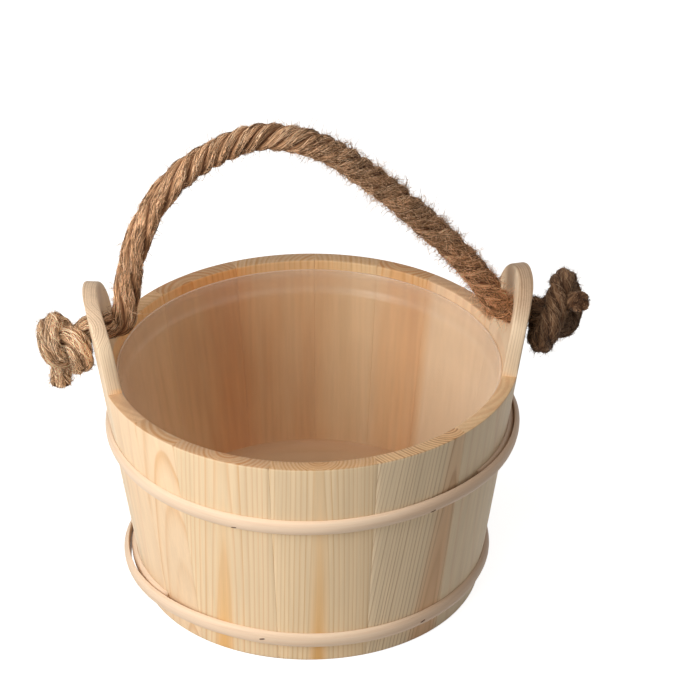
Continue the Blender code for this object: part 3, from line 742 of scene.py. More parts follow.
def hoop_point(hoop, turned, across, rise):
    """Points of the strip at angles from its inner tip: across along the wall, rise out from its flat back."""
    share = np.minimum(ease(turned, -hoop["tip"] / 2, hoop["tip"]), ease(HOOP_LENGTH - turned, 0.0, TAPER_ANGLE))
    wave = HOOP_WAVES[0] * np.sin(5 * turned + hoop["height"] * 90) + HOOP_WAVES[1] * np.sin(13 * turned)
    thickness = HOOP_TIP_THICKNESS + (HOOP_THICKNESS - HOOP_TIP_THICKNESS + wave) * share
    past = turned - 2 * math.pi
    climb = ease(past, -CLIMB_ANGLE, TAPER_ANGLE)
    settle = ease(past, TAPER_ANGLE, LAP_ANGLE)
    lift = (HOOP_THICKNESS + SEAT_GAP) * climb + hoop["stand_off"] * (climb - settle)
    angle = hoop["start"] + hoop["turn"] * turned
    height = hoop["height"] + HOOP_SWAY * np.sin(2 * turned + 1.0)
    outward = np.stack([np.cos(angle), np.sin(angle), 0 * angle], -1)
    square, upward = wall_ways(outward)
    back = outward * outer_radius(height)[:, None] + UPRIGHT * height[:, None]
    return back + square * (lift + rise * thickness)[:, None] + upward * across


def add_hoop(name, hoop):
    turned = np.linspace(0.0, HOOP_LENGTH, round(math.degrees(HOOP_LENGTH) / HOOP_STEP) + 1)
    around = np.linspace(0.0, math.pi, HOOP_SECTION_STEPS)[1:-1]
    section = [(math.cos(a) * (1 - 0.04 * math.sin(a)), math.sin(a) ** HOOP_FULLNESS) for a in around]
    section = np.array([(1.0, HOOP_EDGE), *section, (-1.0, HOOP_EDGE), (-HOOP_BACK, 0.0), (HOOP_BACK, 0.0)])
    size = len(section)
    across, rise = section.T * [[HOOP_WIDTH / 2], [1.0]]
    points = np.stack([hoop_point(hoop, turned, *place) for place in zip(across, rise)], 1)
    along = turned[:, None] * REFERENCE_RADIUS + hoop["height"]
    grain = np.stack(np.broadcast_arrays(across, rise * HOOP_THICKNESS, along), -1)
    # Darker at the cut tips; painted shade on the flat back, the last two points of the section, against the wall
    tips = np.exp(-np.minimum(turned, HOOP_LENGTH - turned) / TIP_DARK_ANGLE)
    dark_tips_shaded_back = np.repeat(tips[:, None], size, 1)
    dark_tips_shaded_back[:, -2:] = BACK_SHADE
    angle = hoop["start"] + hoop["turn"] * turned
    # Painted shade round the right-hand side, away from the key lamp
    right_side_shade = np.repeat(ease(np.cos(angle - SHADED_WAY), 0.35, 0.9), size)
    faces = [face[:: hoop["turn"]] for face in tube_faces(len(turned), size)]
    attributes = {"grain": grain.reshape(-1, 3), "dark_tips_shaded_back": dark_tips_shaded_back.ravel(), "right_side_shade": right_side_shade}
    add_piece(
        f"{name}_wood", points.reshape(-1, 3), faces, hoop_wood(name), "bucket", (name,),
        attributes, HOOP_SHARP,
    )


def brad_steel():
    shader = Shader("brad_steel")
    rust = shader.noise(shader.place(), 900.0, 3.0)
    stops = [(0.35, (0.070, 0.036, 0.022)), (0.6, (0.13, 0.068, 0.040)), (0.75, (0.20, 0.110, 0.065))]
    rough = shader.spread(rust, 0.3, 0.7, 0.5, 0.75)
    return shader.dress(shader.ramp(rust, stops), rough, shader.bump(rust, 0.3, 0.0001), 0.25, Metallic=0.1)


def on_crown(hoop, turned, offset):
    """A point of the strip's rounded face, at an offset across it."""
    rise = math.sqrt(1 - (offset / (HOOP_WIDTH / 2)) ** 2) ** HOOP_FULLNESS
    return hoop_point(hoop, np.array([turned]), offset, rise)[0]


def add_brads():
    """Crowns of the brads that hold the hoops: short bars lying along the strip, sunk a little into it."""
    steel = brad_steel()
    long, wide, high = BRAD_SIZE
    lengths = np.linspace(-1, 1, BRAD_RINGS)
    girths = np.sqrt(np.maximum(0.12, 1 - lengths**4))
    turns = np.linspace(0, 2 * math.pi, BRAD_SIDES, endpoint=False)[:, None]
    faces = tube_faces(BRAD_RINGS, BRAD_SIDES)
    for row, hoop, angles, offsets in BRADS:
        for number, (degrees, offset) in enumerate(zip(angles, offsets), 1):
            turned = (math.radians(degrees) - hoop["start"]) * hoop["turn"] % (2 * math.pi)
            if turned < LAP_ANGLE:
                turned += 2 * math.pi
            centre = on_crown(hoop, turned, offset)
            ahead = unit(on_crown(hoop, turned + 0.002 * hoop["turn"], offset) - centre)
            side = unit(centre - on_crown(hoop, turned, offset - 0.0002))
            ahead = unit(ahead + BRAD_SLANT * side)
            outward = np.cross(ahead, side)
            outward *= np.sign(outward @ centre)
            side = np.cross(outward, ahead)
            ring = side * np.cos(turns) * wide + outward * np.sin(turns) * high
            points = [centre + ahead * place * long + ring * girth for place, girth in zip(lengths, girths)]
            add_piece(f"{row}_brad_{number}", np.vstack(points), faces, steel, "bucket")


# Tub

TUB_ALPHA = 0.085
COLLAR_ALPHA = 0.15
TUB_SHEEN = 0.38
LIP_ALPHA = 0.24
TUB_STEPS = 160
CORNER_STEPS = 9
LIP_ROUND = 0.0005
LIP_SHOULDER = (0.0003, 0.0001)
TUB_SHARP = 40.0


def tub_plastic():
    """Thin milky polypropylene that the staves show through, thicker at the collar."""
    shader = Shader("tub_plastic")
    place = shader.place()
    cloud = shader.noise(place, 22.0, 3.0)
    flow = shader.noise(shader.stretch(place, (1.0, 1.0, 0.2)), 160.0)
    colour = shader.ramp(cloud, [(0.3, (0.95, 0.77, 0.61)), (0.7, (0.98, 0.83, 0.68))])
    rough = shader.spread(flow, 0.3, 0.7, 0.19, 0.27)
    normal = shader.bump(shader.noise(place, 55.0), 0.06, 0.002)
    alpha = shader.spread(shader.attribute("collar"), 0.0, 1.0, TUB_ALPHA, COLLAR_ALPHA)
    alpha = shader.times(alpha, shader.spread(cloud, 0.3, 0.7, 0.92, 1.08))
    glance = shader.math("POWER", shader.node("LayerWeight").outputs["Facing"], 2.5)
    alpha = shader.math("MULTIPLY_ADD", glance, TUB_SHEEN, alpha)
    alpha = shader.math("MULTIPLY_ADD", shader.attribute("lip"), LIP_ALPHA, alpha, clamp=True)
    return shader.dress(colour, rough, normal, 0.6, Alpha=alpha)


def straight(first, last, shares):
    return [tuple(np.add(first, share * np.subtract(last, first))) for share in shares]


def tub_profile(step):
    """Radius and height round the tub's wall, from the middle of its floor over the lip to the middle below."""
    below = BOTTOM_TOP + SEAT_GAP
    floor = below + LINER_WALL
    lip = inner_radius(LIP_TOP) - LINER_CLEARANCE
    collar = inner_radius(step) - LINER_CLEARANCE
    wall = collar - LINER_STEP
    lip_in, collar_in = lip - LINER_WALL, collar - LINER_WALL
    centre = LINER_FLOOR_RADIUS - LINER_CORNER
    middle = floor + LINER_CORNER
    turn = LINER_CORNER + LINER_WALL
    corner = [(math.sin(a), math.cos(a)) for a in np.linspace(0, math.pi / 2, CORNER_STEPS)]
    ledge = (wall - LINER_WALL, step - LINER_STEP)
    profile = [(radius, floor) for radius in (0.0, 0.03, 0.06, centre)]
    profile += [(centre + LINER_CORNER * s, middle - LINER_CORNER * c) for s, c in corner[1:]]
    profile += straight(profile[-1], ledge, np.linspace(0, 1, 8)[1:-1])
    profile += [
        (ledge[0] - 0.0002, ledge[1] - 0.0018),
        (ledge[0] + 0.0003, ledge[1] - 0.0002),
        (ledge[0] + LINER_STEP * 0.5, ledge[1] + LINER_STEP * 0.42),
        (collar_in - 0.0003, step - 0.0002),
        (collar_in, step + 0.0014),
        ((collar_in + lip_in) / 2, (step + LIP_TOP - LIP_ROUND) / 2),
        (lip_in, LIP_TOP - LIP_ROUND),
        (lip_in + LIP_SHOULDER[0], LIP_TOP - LIP_SHOULDER[1]),
        (lip - LINER_WALL * 0.5, LIP_TOP),
        (lip - LIP_SHOULDER[0], LIP_TOP - LIP_SHOULDER[1]),
        (lip, LIP_TOP - LIP_ROUND),
        ((collar + lip) / 2, (step + LIP_TOP) / 2),
        (collar, step + 0.0010),
        (collar - 0.0004, step - 0.0004),
        (wall + 0.0003, ledge[1] - 0.0002),
        (wall - 0.0002, ledge[1] - 0.0020),
    ]
    profile += straight(profile[-1], (centre + turn, middle), np.linspace(0, 1, 7)[1:])
    profile += [(centre + turn * s, middle - turn * c) for s, c in corner[-2::-1]]
    return np.array(profile + [(0.05, below), (0.0, below)])


def add_tub():
    step = LIP_TOP - LINER_COLLAR
    profile = tub_profile(step)
    radius, height = profile[1:-1].T[..., None]
    angles = np.linspace(0, 2 * math.pi, TUB_STEPS, endpoint=False)
    rings = np.stack([radius * np.cos(angles), radius * np.sin(angles), height + 0 * angles], -1).reshape(-1, 3)
    points = np.vstack([rings, [(0, 0, profile[0, 1]), (0, 0, profile[-1, 1])]])
    numbers = list(range(len(points)))
    faces = ring_faces(len(radius), TUB_STEPS)
    faces += fan(numbers[-2], numbers[:TUB_STEPS][::-1]) + fan(numbers[-1], numbers[-2 - TUB_STEPS : -2])
    faces = [face[::-1] for face in faces]
    shares = {
        "collar": ease(points[:, 2], step - 0.004, step - 0.001),
        "lip": ease(points[:, 2], LIP_TOP - 0.0007, LIP_TOP - 0.0002),
    }
    add_piece("tub", points, faces, tub_plastic(), "liner", ("liner",), shares, TUB_SHARP)


# Bottom

# Each bottom board's wood: ring spacing, contrast, where the pith lies from the middle of the lower face (across,
# below it), how it leans along the board, in degrees, the share of the lines on the two sides and the brown of the edge
BOARD_WOODS = (
    (0.0058, 1.0, (0.004, 0.0075), 4.6, (1.0, 1.0), 0.5),
    (0.0023, 0.46, (-0.100, 0.105), 1.0, (1.0, 0.15), 0.0),
    (0.0064, 0.55, (-0.030, 0.010), 0.5, (1.0, 0.1), 0.0),
)
# Tint of the boards' upper face, below the tub
BOARD_TOP_TINT = (0.66, 0.50, 0.34)


def board_pine(name, low, high, spacing, contrast, pith, lean, sides, edge):
    """Pine with its rings about a pith line along X: flames where the line lies close under the lower face."""
    shader = Shader(f"{name}_pine")
    place = shader.place()
    pith_across = (low[1] + high[1]) / 2 + pith[0]
    left, right = low[1] - pith_across, high[1] - pith_across
    shift = shader.vector("SUBTRACT", place, (0.0, pith_across, low[2] - pith[1]))
    slope = shader.dot(place, (math.tan(math.radians(lean)), 0.0, 0.0))
    grain = shader.vector("ADD", shift, shader.scaled((0.0, 0.0, 1.0), slope))
    slow = (0.16, 1.0, 1.0)
    bent, _, phase, strength = growth_rings(shader, grain, slow, (0.0, 1.0, 1.0), (20.0, 0.006), spacing, 1.2, 0.6)
    thin = [(0.0, 0.2), (0.1, 0.0), (0.5, 0.06), (0.72, 0.45), (0.86, 1.0), (0.95, 1.0), (1.0, 0.45)]
    dark = shader.ramp(phase, thin)
    streak = shader.noise(shader.stretch(grain, (0.018, 1.0, 1.0)), 1300.0, 3.0, 0.6)
    patch = shader.noise(shader.stretch(grain, slow), 34.0)
    across = shader.dot(bent, (0.0, 1.0, 0.0))
    fade = shader.spread(across, left, right, sides[0] * contrast, sides[1] * contrast)
    amount = shader.times(shader.times(dark, strength), fade)
    amount = shader.math("ADD", amount, shader.spread(across, right - 0.011, right - 0.003, 0.0, edge), clamp=True)
    above = shader.spread(shader.dot(shader.node("TexCoord").outputs["Normal"], (0.0, 0.0, 1.0)), 0.3, 0.7)
    amount = shader.mix(above, amount, shader.math("MULTIPLY_ADD", amount, 0.25, 0.15))
    colour = shader.mix(amount, CREAM, AMBER)
    colour = shader.mix(above, colour, shader.stretch(colour, BOARD_TOP_TINT))
    light = shader.times(shader.spread(streak, 0.25, 0.75, 0.94, 1.03), shader.spread(patch, 0.3, 0.7, 0.94, 1.03))
    colour = shader.scaled(colour, light)
    normal = shader.bump(shader.math("MULTIPLY_ADD", dark, 0.5, streak), 0.2, 0.0003)
    rough = shader.spread(streak, 0.2, 0.8, 0.5, 0.66)
    return shader.dress(colour, rough, normal, 0.3)


def dress_boards():
    """The bottom boards keep their CAD shape and get pine along X."""
    for number, wood in enumerate(BOARD_WOODS, 1):
        name = f"bottom_board_{number}"
        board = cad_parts[name]
        low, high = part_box(name)
        material = board_pine(name, low, high, *wood)
        board.data.materials.clear()
        board.data.materials.append(material)


# Rope

# Middle line of the rope, in millimetres: tail and knot outside the left ear, the arch, knot and tail at the right
LEFT_TAIL = [
    (-153.4, -5.0, 145.5), (-153.2, -4.6, 150.5), (-152.8, -4.0, 157.0), (-152.5, -3.6, 164.0), (-152.3, -3.8, 170.0),
]
LEFT_KNOT = [
    (-151.4, -4.2, 177.6), (-147.0, -8.2, 179.4), (-143.0, -11.4, 177.2), (-140.7, -12.6, 172.6),
    (-140.4, -11.3, 167.0), (-141.2, -7.7, 162.0), (-142.4, -2.6, 159.4), (-143.6, 2.3, 160.1),
    (-145.1, 5.9, 163.1), (-147.7, 7.1, 167.6), (-149.9, 6.8, 172.3), (-152.1, 6.5, 177.1),
    (-154.6, 4.6, 181.3), (-156.9, 0.5, 184.0), (-158.5, -4.6, 184.3), (-159.0, -9.4, 182.2),
    (-158.7, -12.4, 178.1), (-157.2, -13.0, 173.3), (-154.3, -11.1, 169.2), (-150.7, -7.5, 167.0),
    (-146.5, -3.5, 167.7),
]
LEFT_NECK = [(-143.0, -0.8, 168.4), (-141.0, 0.4, 173.0), (-138.2, 0.4, 178.0)]
RIGHT_NECK = [(137.8, 0.0, 181.0), (142.0, -2.6, 180.2), (145.6, -5.6, 178.2)]
RIGHT_KNOT = [
    (149.0, -6.9, 175.6), (154.2, -5.1, 171.1), (158.7, -0.4, 168.9), (162.0, 5.5, 170.1), (163.5, 10.6, 174.7),
    (163.1, 13.4, 181.4), (161.2, 13.0, 188.5), (159.5, 9.1, 194.2), (157.4, 3.2, 197.0), (155.2, -3.1, 195.9),
    (153.2, -8.6, 191.9), (151.0, -13.9, 187.9), (148.4, -18.3, 183.0), (145.5, -19.7, 176.4), (143.6, -17.6, 169.9),
    (142.8, -12.6, 165.2), (142.9, -6.0, 163.8), (143.8, 0.4, 165.7), (145.6, 4.8, 170.5), (149.4, 6.0, 176.5),
    (154.0, 3.7, 181.5),
]
RIGHT_TAIL = [(157.6, -1.0, 185.4), (160.6, -7.4, 189.2), (163.2, -14.0, 192.8), (165.6, -20.0, 196.0)]
# The arch as shares of half its span and of its rise
ARCH_RISE = 127.0
ARCH_INSET = 0.004
ARCH = (
    (-0.951, 0.028), (-0.926, 0.105), (-0.912, 0.215), (-0.893, 0.325), (-0.858, 0.455), (-0.80, 0.59),
    (-0.722, 0.715), (-0.575, 0.855), (-0.36, 0.97), (-0.17, 1.0), (0.08, 0.93), (0.31, 0.765),
    (0.556, 0.542), (0.77, 0.318), (0.90, 0.146), (0.966, 0.035),
)
LEFT_KNOT_RADIUS = 0.0076
RIGHT_KNOT_RADIUS = 0.0077
LEFT_TIP_RADIUS = 0.0062
RIGHT_TIP_RADIUS = 0.0064
# Distances over which the rope narrows into its knots, from the middle of the bucket, and to its tips, from the ends
LEFT_IN = (0.134, 0.146)
RIGHT_IN = (0.134, 0.148)
LEFT_END = (0.040, 0.020)
RIGHT_END = (0.030, 0.014)
# The rope is pinched where it leaves the left hole
PINCH_PLACE = (-0.139, 0.0, 0.177)
PINCH_REACH = 0.005
PINCH = 0.0008
STRANDS = 4
STRAND_SIDES = 22
ROUTE_STEP = 0.0008
ROPE_STEP = 0.001
# Shares of the rope's radius: how far out a strand lies, its half depth and half width, and the filling
STRAND_PLACE = 0.595
STRAND_DEPTH = 0.385
STRAND_WIDTH = 0.53
CORE_SHARE = 0.34
# Twist of the fibres within a strand, in radians per metre, the radius they are drawn at and each strand's own shift
FIBRE_TWIST = 95.0
FIBRE_RADIUS = 0.003
FIBRE_SHIFT = 0.02
TIP_CONE = 0.0004
# Painted shade that darkens the strands towards the grooves between them and on the filling
GROOVE_SHADE = (0.36, 0.27, 0.21)
WARMTH = (0.045, -0.07, -0.165)


class Rope:
    """The rope's middle line with its frames, radius and lay, ready to place points on its strands."""

    def __init__(self):
        axis = HOLE_HEIGHT * 1000
        outer, inner = outer_radius(HOLE_HEIGHT) * 1000, inner_radius(HOLE_HEIGHT) * 1000
        span = inner - ARCH_INSET * 1000
        arch = [(side * span, 0.0, axis + rise * ARCH_RISE) for side, rise in ARCH]
        left = LEFT_TAIL + LEFT_KNOT + LEFT_NECK + [(-outer, 0.0, axis), (-inner, 0.0, axis)]
        right = [(inner, 0.0, axis), (outer, 0.0, axis)] + RIGHT_NECK + RIGHT_KNOT + RIGHT_TAIL
        self.points, self.at = even(catmull(np.array(left + arch + right) / 1000, ROUTE_STEP), ROPE_STEP)
        self.length = self.at[-1]
        self.tangent = unit(np.gradient(self.points, axis=0))
        self.normal = np.empty_like(self.points)
        way = np.cross(self.tangent[0], (0.0, 1.0, 0.0))
        for index, tangent in enumerate(self.tangent):
            way = unit(way - tangent * (way @ tangent))
            self.normal[index] = way
        self.side = np.cross(self.tangent, self.normal)
        x = self.points[:, 0]
        left_in, right_in = ease(-x, *LEFT_IN), ease(x, *RIGHT_IN)
        left_end, right_end = ease(self.at, *LEFT_END), ease(self.length - self.at, *RIGHT_END)
        self.radius = ROPE_RADIUS + (LEFT_KNOT_RADIUS - ROPE_RADIUS) * left_in
        self.radius += (RIGHT_KNOT_RADIUS - ROPE_RADIUS) * right_in
        self.radius += (LEFT_TIP_RADIUS - LEFT_KNOT_RADIUS) * left_end
        self.radius += (RIGHT_TIP_RADIUS - RIGHT_KNOT_RADIUS) * right_end
        self.radius -= PINCH * np.exp(-(((self.points - PINCH_PLACE) / PINCH_REACH) ** 2).sum(1))
        # The strands wander from their places on the right leg
        self.loose = 0.35 + 0.65 * ease(x, -0.02, 0.05) * (1 - right_in)
        # The lay is left-handed, slack on the left leg and tight over the top, as in the photo
        pitch = 0.130 - 0.091 * ease(x, -0.105, -0.060) + 0.020 * left_in + 0.012 * ease(x, 0.03, 0.10)
        self.lay = -np.concatenate([[0.0], np.cumsum(2 * math.pi * np.diff(self.at) / pitch[1:])])

    def at_place(self, place, values):
        return interpolate(place, self.at, values)

    def ways(self, place, angle):
        """Directions out from the middle line and across it, at an angle round the rope."""
        normal, side = self.at_place(place, self.normal), self.at_place(place, self.side)
        cosine, sine = np.cos(angle)[..., None], np.sin(angle)[..., None]
        return normal * cosine + side * sine, side * cosine - normal * sine

    def surface(self, place, strand, around, lift):
        """Points on a strand: place along the rope, strand number, angle around the strand and lift off it."""

        def wave(rate, shift, turns=0):
            return np.sin(turns * around + rate * place + shift * strand)

        loose = self.at_place(place, self.loose)
        turn = self.at_place(place, self.lay) + strand * 2 * math.pi / STRANDS
        turn = turn + loose * (0.16 * wave(118, 2.4) + 0.11 * wave(263, 4.1))
        out, across = self.ways(place, turn)
        swell = 1 + 0.045 * wave(310, 2.1) + 0.06 * loose * wave(171, 3.3)
        swell = swell + 0.020 * wave(420, 1, 5) + 0.014 * wave(-260, 2, 8) + 0.022 * wave(900, 1.7, 3) * wave(610, 1)
        radius = self.at_place(place, self.radius)
        reach = radius * STRAND_PLACE + (radius * STRAND_DEPTH * swell + lift) * np.cos(around)
        sideways = (radius * STRAND_WIDTH * swell + lift) * np.sin(around)
        return self.at_place(place, self.points) + out * reach[..., None] + across * sideways[..., None]

    def core(self, place, around):
        """Points on the filling between the strands."""
        reach = self.at_place(place, self.radius)[..., None] * CORE_SHARE
        return self.at_place(place, self.points) + reach * self.ways(place, around)[0]


def jute(name, hair):
    """Twisted jute: fibre streaks along each strand, with painted shade in the grooves between them; hairs carry their
    own tint.
    """
    shader = Shader(name)
    fibre = shader.attribute("fibre", "Vector")
    fine = shader.noise(shader.stretch(fibre, (1.0, 1.0, 0.05)), 2100.0, 3.0, 0.7)
    bundle = shader.noise(shader.stretch(fibre, (1.0, 1.0, 0.08)), 800.0, 2.0, 0.55)
    patch = shader.noise(fibre, 90.0, 3.0)
    tint = shader.attribute("tint")
    shade = tint
    if not hair:
        shade = shader.math("ADD", shader.times(fine, 0.6), shader.times(bundle, 0.4))
        shade = shader.spread(shade, 0.36, 0.70)
    stops = [
        (0.0, (0.085, 0.040, 0.018)), (0.30, (0.26, 0.140, 0.070)),
        (0.62, (0.54, 0.330, 0.190)), (1.0, (0.88, 0.630, 0.425)),
    ]
    colour = shader.ramp(shade, stops)
    if not hair:
        # Painted shade in the grooves between the strands
        groove_shade = shader.math("SUBTRACT", 1.0, tint)
        colour = shader.mix(groove_shade, colour, shader.stretch(colour, GROOVE_SHADE))
    warmth = shader.scaled(WARMTH, shader.attribute("warmth"))
    colour = shader.stretch(colour, shader.vector("ADD", warmth, WHITE))
    # The tone attribute is partly painted light: brighter where the key lamp falls, darker in shade
    level = shader.times(shader.attribute("tone"), shader.spread(patch, 0.3, 0.7, 0.80, 1.15))
    colour = shader.scaled(colour, level)
    normal = shader.bump(shader.math("ADD", fine, bundle), 1.0, 0.0011)
    rough = shader.spread(bundle, 0.3, 0.7, 0.50, 0.8)
    return shader.dress(colour, rough, normal, 0.3)


def rope_tone_and_light(rope, place):
    """The rope's tone and warmth: pale at the left, warm and brown towards the right knot. Tone is partly the rope's
    own lighter and darker lengths and partly painted light, which brightens the whole rope and the left knot, where the
    key lamp falls, lifts stretches of the arch and the right leg, and darkens the right knot in its shade.
    """
    x = rope.at_place(place, rope.points[:, 0])
    left_knot, right_knot = ease(-x, 0.118, 0.145), ease(x, 0.125, 0.142)
    tone = 1.82 + 0.14 * ease(-x, 0.05, 0.09) + 0.37 * left_knot
    tone += 0.08 * np.exp(-(((x + 0.02) / 0.05) ** 2)) - 0.14 * ease(x, -0.04, 0.07)
    tone += 0.38 * ease(x, 0.085, 0.115) * (1 - right_knot) - 1.0 * right_knot
    warmth = 1.15 * ease(x, 0.06, 0.11) * (1 - 0.4 * right_knot) - left_knot
    return {"tone": tone, "warmth": warmth}


def add_strands(rope):
    """The four strands and the filling between them, each closed by a low cone at both ends."""
    rings = len(rope.at)
    around = np.linspace(0, 2 * math.pi, STRAND_SIDES, endpoint=False)
    place, angle = np.broadcast_arrays(rope.at[:, None], around)
    points, faces, fibres, tints, places = [], [], [], [], []
    total = 0
    for strand in range(STRANDS + 1):
        if strand < STRANDS:
            shell = rope.surface(place, strand, angle, 0.0)
            # Painted shade: lower towards the strand's sides, where it meets the grooves
            tint = 0.06 + 0.94 * ease(np.cos(angle), 0.0, 0.80)
        else:
            shell = rope.core(place, angle)
            # Painted shade on the filling that lies deep between the strands
            tint = np.full_like(angle, 0.2)
        twist = angle - FIBRE_TWIST * place
        fibre = [FIBRE_RADIUS * np.cos(twist) + FIBRE_SHIFT * strand, FIBRE_RADIUS * np.sin(twist), place]
        fibre = np.stack(fibre, -1)
        faces += ring_faces(rings, STRAND_SIDES, total)
        points.append(shell.reshape(-1, 3))
        fibres.append(fibre.reshape(-1, 3))
        tints.append(tint.ravel())
        places.append(place.ravel())
        tip = total + rings * STRAND_SIDES
        for ring, sign in ((0, -1), (rings - 1, 1)):
            points.append(shell[ring].mean(0)[None] + sign * rope.tangent[ring] * TIP_CONE)
            fibres.append(fibre[ring].mean(0)[None])
            tints.append([0.35])
            places.append(rope.at[[ring]])
            first = total + ring * STRAND_SIDES
            faces += fan(tip, list(range(first, first + STRAND_SIDES))[::sign])
            tip += 1
        total = tip
    add_piece(
        "rope", np.vstack(points), faces, jute("rope_jute_wound", False), "handle", ("rope_handle",),
        {"fibre": np.vstack(fibres), "tint": np.concatenate(tints), **rope_tone_and_light(rope, np.concatenate(places))},
    )


# Loose fibres

HAIR_SEED = 11
LYING = 11000
LYING_STEPS = 7
LYING_LENGTH = (0.004, 0.013)
LYING_RADIUS = (0.00011, 0.00029)
# Greatest rise of a lying fibre off its strand, and of the few that arch away from it
LYING_RISE = 0.0005
LYING_ARCH = 0.0018
LOOSE_STEPS = 5
LOOSE_ROOT = 0.0002
END_STEPS = 4
END_HAIRS = 420
END_LENGTH = (0.0009, 0.0018)
END_RADIUS = (0.00018, 0.00036)
END_ROOT = 0.0010
# Upright hairs: name, number, least and greatest length, and thickness
LOOSE = (
    ("rope_fuzz", 14000, (0.0015, 0.0047), 0.00015),
    ("rope_strays", 200, (0.004, 0.009), 0.00014),
)
# Brushes at the cut ends: name, ring, direction along the rope and how much paler than the rope they are
ENDS = (("rope_end_left", 0, -1, 1.0), ("rope_end_right", -1, 1, 2.3))


def hair_mesh(name, paths, radii, tints, looks, material):
    """Three-sided hairs along paths of equal point counts, thinning to their tips."""
    count, size = paths.shape[:2]
    tangent = unit(np.gradient(paths, axis=1))
    helper = np.where(np.abs(tangent[..., 2:]) < 0.9, (0.0, 0.0, 1.0), (1.0, 0.0, 0.0))
    normal = unit(np.cross(tangent, helper))
    side = np.cross(tangent, normal)
    taper = np.linspace(1.0, 0.4, size)[None, :, None] * radii[:, None, None]
    corners = (0.0, 2 * math.pi / 3, 4 * math.pi / 3)
    rings = [paths + taper * (normal * math.cos(a) + side * math.sin(a)) for a in corners]
    points = np.stack(rings, 2).reshape(-1, 3)
    each = size * len(corners)
    pattern = tube_faces(size, len(corners))
    faces = [tuple(index + hair * each for index in face) for hair in range(count) for face in pattern]
    attributes = {"fibre": points}
    attributes.update({key: np.repeat(values, each) for key, values in {"tint": tints, **looks}.items()})
    add_piece(name, points, faces, material, "handle", (), attributes)


def hairiness(rope):
    """Share of the hairs before each place of the rope: the right leg is the hairiest."""
    x = rope.points[:, 0]
    density = 0.22 + 1.5 * ease(x, -0.03, 0.05) - 0.8 * ease(x, 0.128, 0.142) + 0.9 * ease(-x, 0.122, 0.140)
    total = np.cumsum(density * ease(rope.length - rope.at, 0.004, 0.016))
    return total / total[-1]


def add_lying(rope, random, share_before, material):
    """Fibres that lie along the strands, tangled on the right leg and the left knot."""

    def draw(low, high):
        return random.uniform(low, high, LYING)[:, None]

    share = np.linspace(0.0, 1.0, LYING_STEPS)[None]
    start = np.interp(draw(share_before[0], 1.0), (share_before + rope.at / rope.length) / 2, rope.at)
    start = np.clip(start, 0.001, rope.length - 0.012)
    length = draw(*LYING_LENGTH)
    strand = random.integers(0, STRANDS, LYING)[:, None].astype(float)
    x = rope.at_place(start, rope.points[:, 0])
    tangle = 0.3 + 1.9 * ease(x, -0.03, 0.05) + 1.2 * ease(-x, 0.122, 0.140)
    angle = random.normal(0.0, 1.0, LYING)[:, None] * (0.5 + 0.2 * tangle)
    drift = 0.25 + tangle * random.normal(0.0, 1.0, LYING)[:, None]
    rise = draw(0.0, LYING_RISE) + draw(0, 1) ** 4 * LYING_ARCH * share**2
    place = np.clip(start + length * share, 0.0, rope.length)
    lift = 0.00003 + rise * np.sin(math.pi * share * 0.9) ** 0.7
    paths = rope.surface(place, strand, angle + drift * share, lift)
    radii, tints = random.uniform(*LYING_RADIUS, LYING), random.beta(0.55, 0.6, LYING)
    hair_mesh("rope_fibres", paths, radii, tints, rope_tone_and_light(rope, start[:, 0]), material)


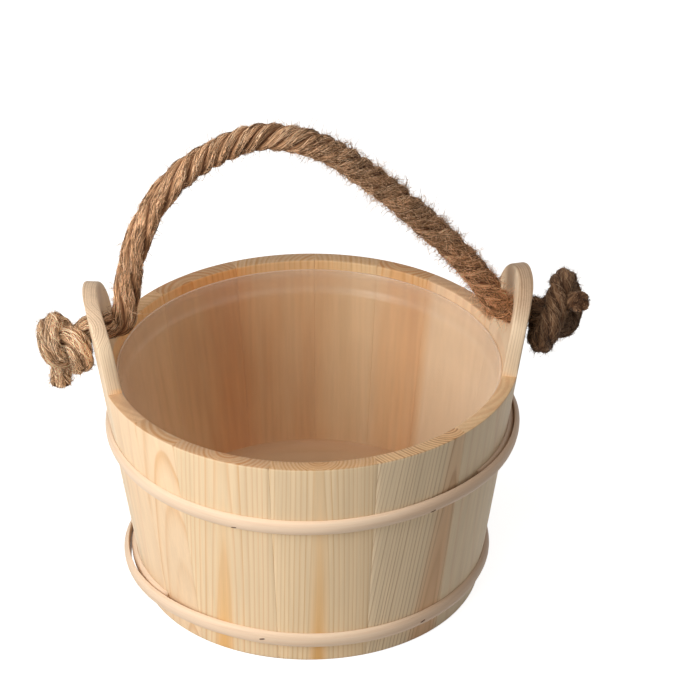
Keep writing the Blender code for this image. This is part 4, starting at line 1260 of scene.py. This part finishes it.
def add_loose(rope, random, share_before, material, name, count, reach, thick):
    """Fibres that stand off the strands and curl, shorter at the knots."""
    start = np.interp(random.uniform(share_before[0], 1.0, count), share_before, rope.at)
    strand = random.integers(0, STRANDS, count).astype(float)
    root = rope.surface(start, strand, random.normal(0.0, 0.6, count), -LOOSE_ROOT)
    middle = rope.at_place(start, rope.points)
    lean = random.normal(0.0, 1.2, count)[:, None] * rope.at_place(start, rope.tangent)
    lean += random.normal(0.0, 0.5, (count, 3))
    way = unit(0.8 * unit(root - middle) + 0.9 * lean)
    curl, kink = random.normal(0.0, 1.1, (2, count, 3))
    length = random.uniform(*reach, count)[:, None] * (1 - 0.4 * ease(np.abs(middle[:, :1]), 0.128, 0.142))
    paths = [
        root + length * (t * way + 0.55 * t * t * curl + 0.35 * math.sin(math.pi * t) * t * kink)
        for t in np.linspace(0.0, 1.0, LOOSE_STEPS)
    ]
    radii, tints = thick * random.uniform(0.7, 1.3, count), random.uniform(0.15, 0.85, count)
    hair_mesh(name, np.stack(paths, 1), radii, tints, rope_tone_and_light(rope, start), material)


def add_end(rope, random, material, name, ring, sign, pale):
    """A brush of cut fibres, with painted shade on those between the strands and at the core."""
    share_out = np.sqrt(random.uniform(0, 0.92, END_HAIRS))[:, None]
    turn = random.uniform(0, 2 * math.pi, END_HAIRS)
    tangent = sign * rope.tangent[ring]
    spread = rope.normal[ring] * np.cos(turn)[:, None] + rope.side[ring] * np.sin(turn)[:, None]
    way = tangent + 0.35 * spread * share_out + random.normal(0, 0.16, (END_HAIRS, 3))
    root = rope.points[ring] + spread * rope.radius[ring] * share_out - tangent * END_ROOT
    length = random.uniform(*END_LENGTH, END_HAIRS)[:, None]
    paths = np.stack([root + length * t * way for t in np.linspace(0.0, 1.0, END_STEPS)], 1)
    looks = rope_tone_and_light(rope, np.full(END_HAIRS, rope.at[ring]))
    looks["tone"] *= pale
    # Painted shade on the fibres between the strands and at the core
    lobe = np.abs(np.cos((turn - rope.lay[ring]) * STRANDS / 2)) * ease(share_out[:, 0], 0.05, 0.45)
    tints = random.beta(0.7, 0.9, END_HAIRS) * (0.12 + 0.88 * ease(lobe, 0.1, 0.7))
    hair_mesh(name, paths, random.uniform(*END_RADIUS, END_HAIRS), tints, looks, material)


def add_hairs(rope):
    """Loose fibres: many that lie along the strands, a short fuzz, a few long strays, and brushes at the cut ends."""
    random = np.random.default_rng(HAIR_SEED)
    material = jute("rope_jute_loose", True)
    share_before = hairiness(rope)
    add_lying(rope, random, share_before, material)
    for hairs in LOOSE:
        add_loose(rope, random, share_before, material, *hairs)
    for end in ENDS:
        add_end(rope, random, material, *end)


add_camera()
add_stage()
add_staves()
add_hoop("upper_hoop", UPPER_HOOP)
add_hoop("lower_hoop", LOWER_HOOP)
add_brads()
add_tub()
dress_boards()
rope = Rope()
add_strands(rope)
add_hairs(rope)
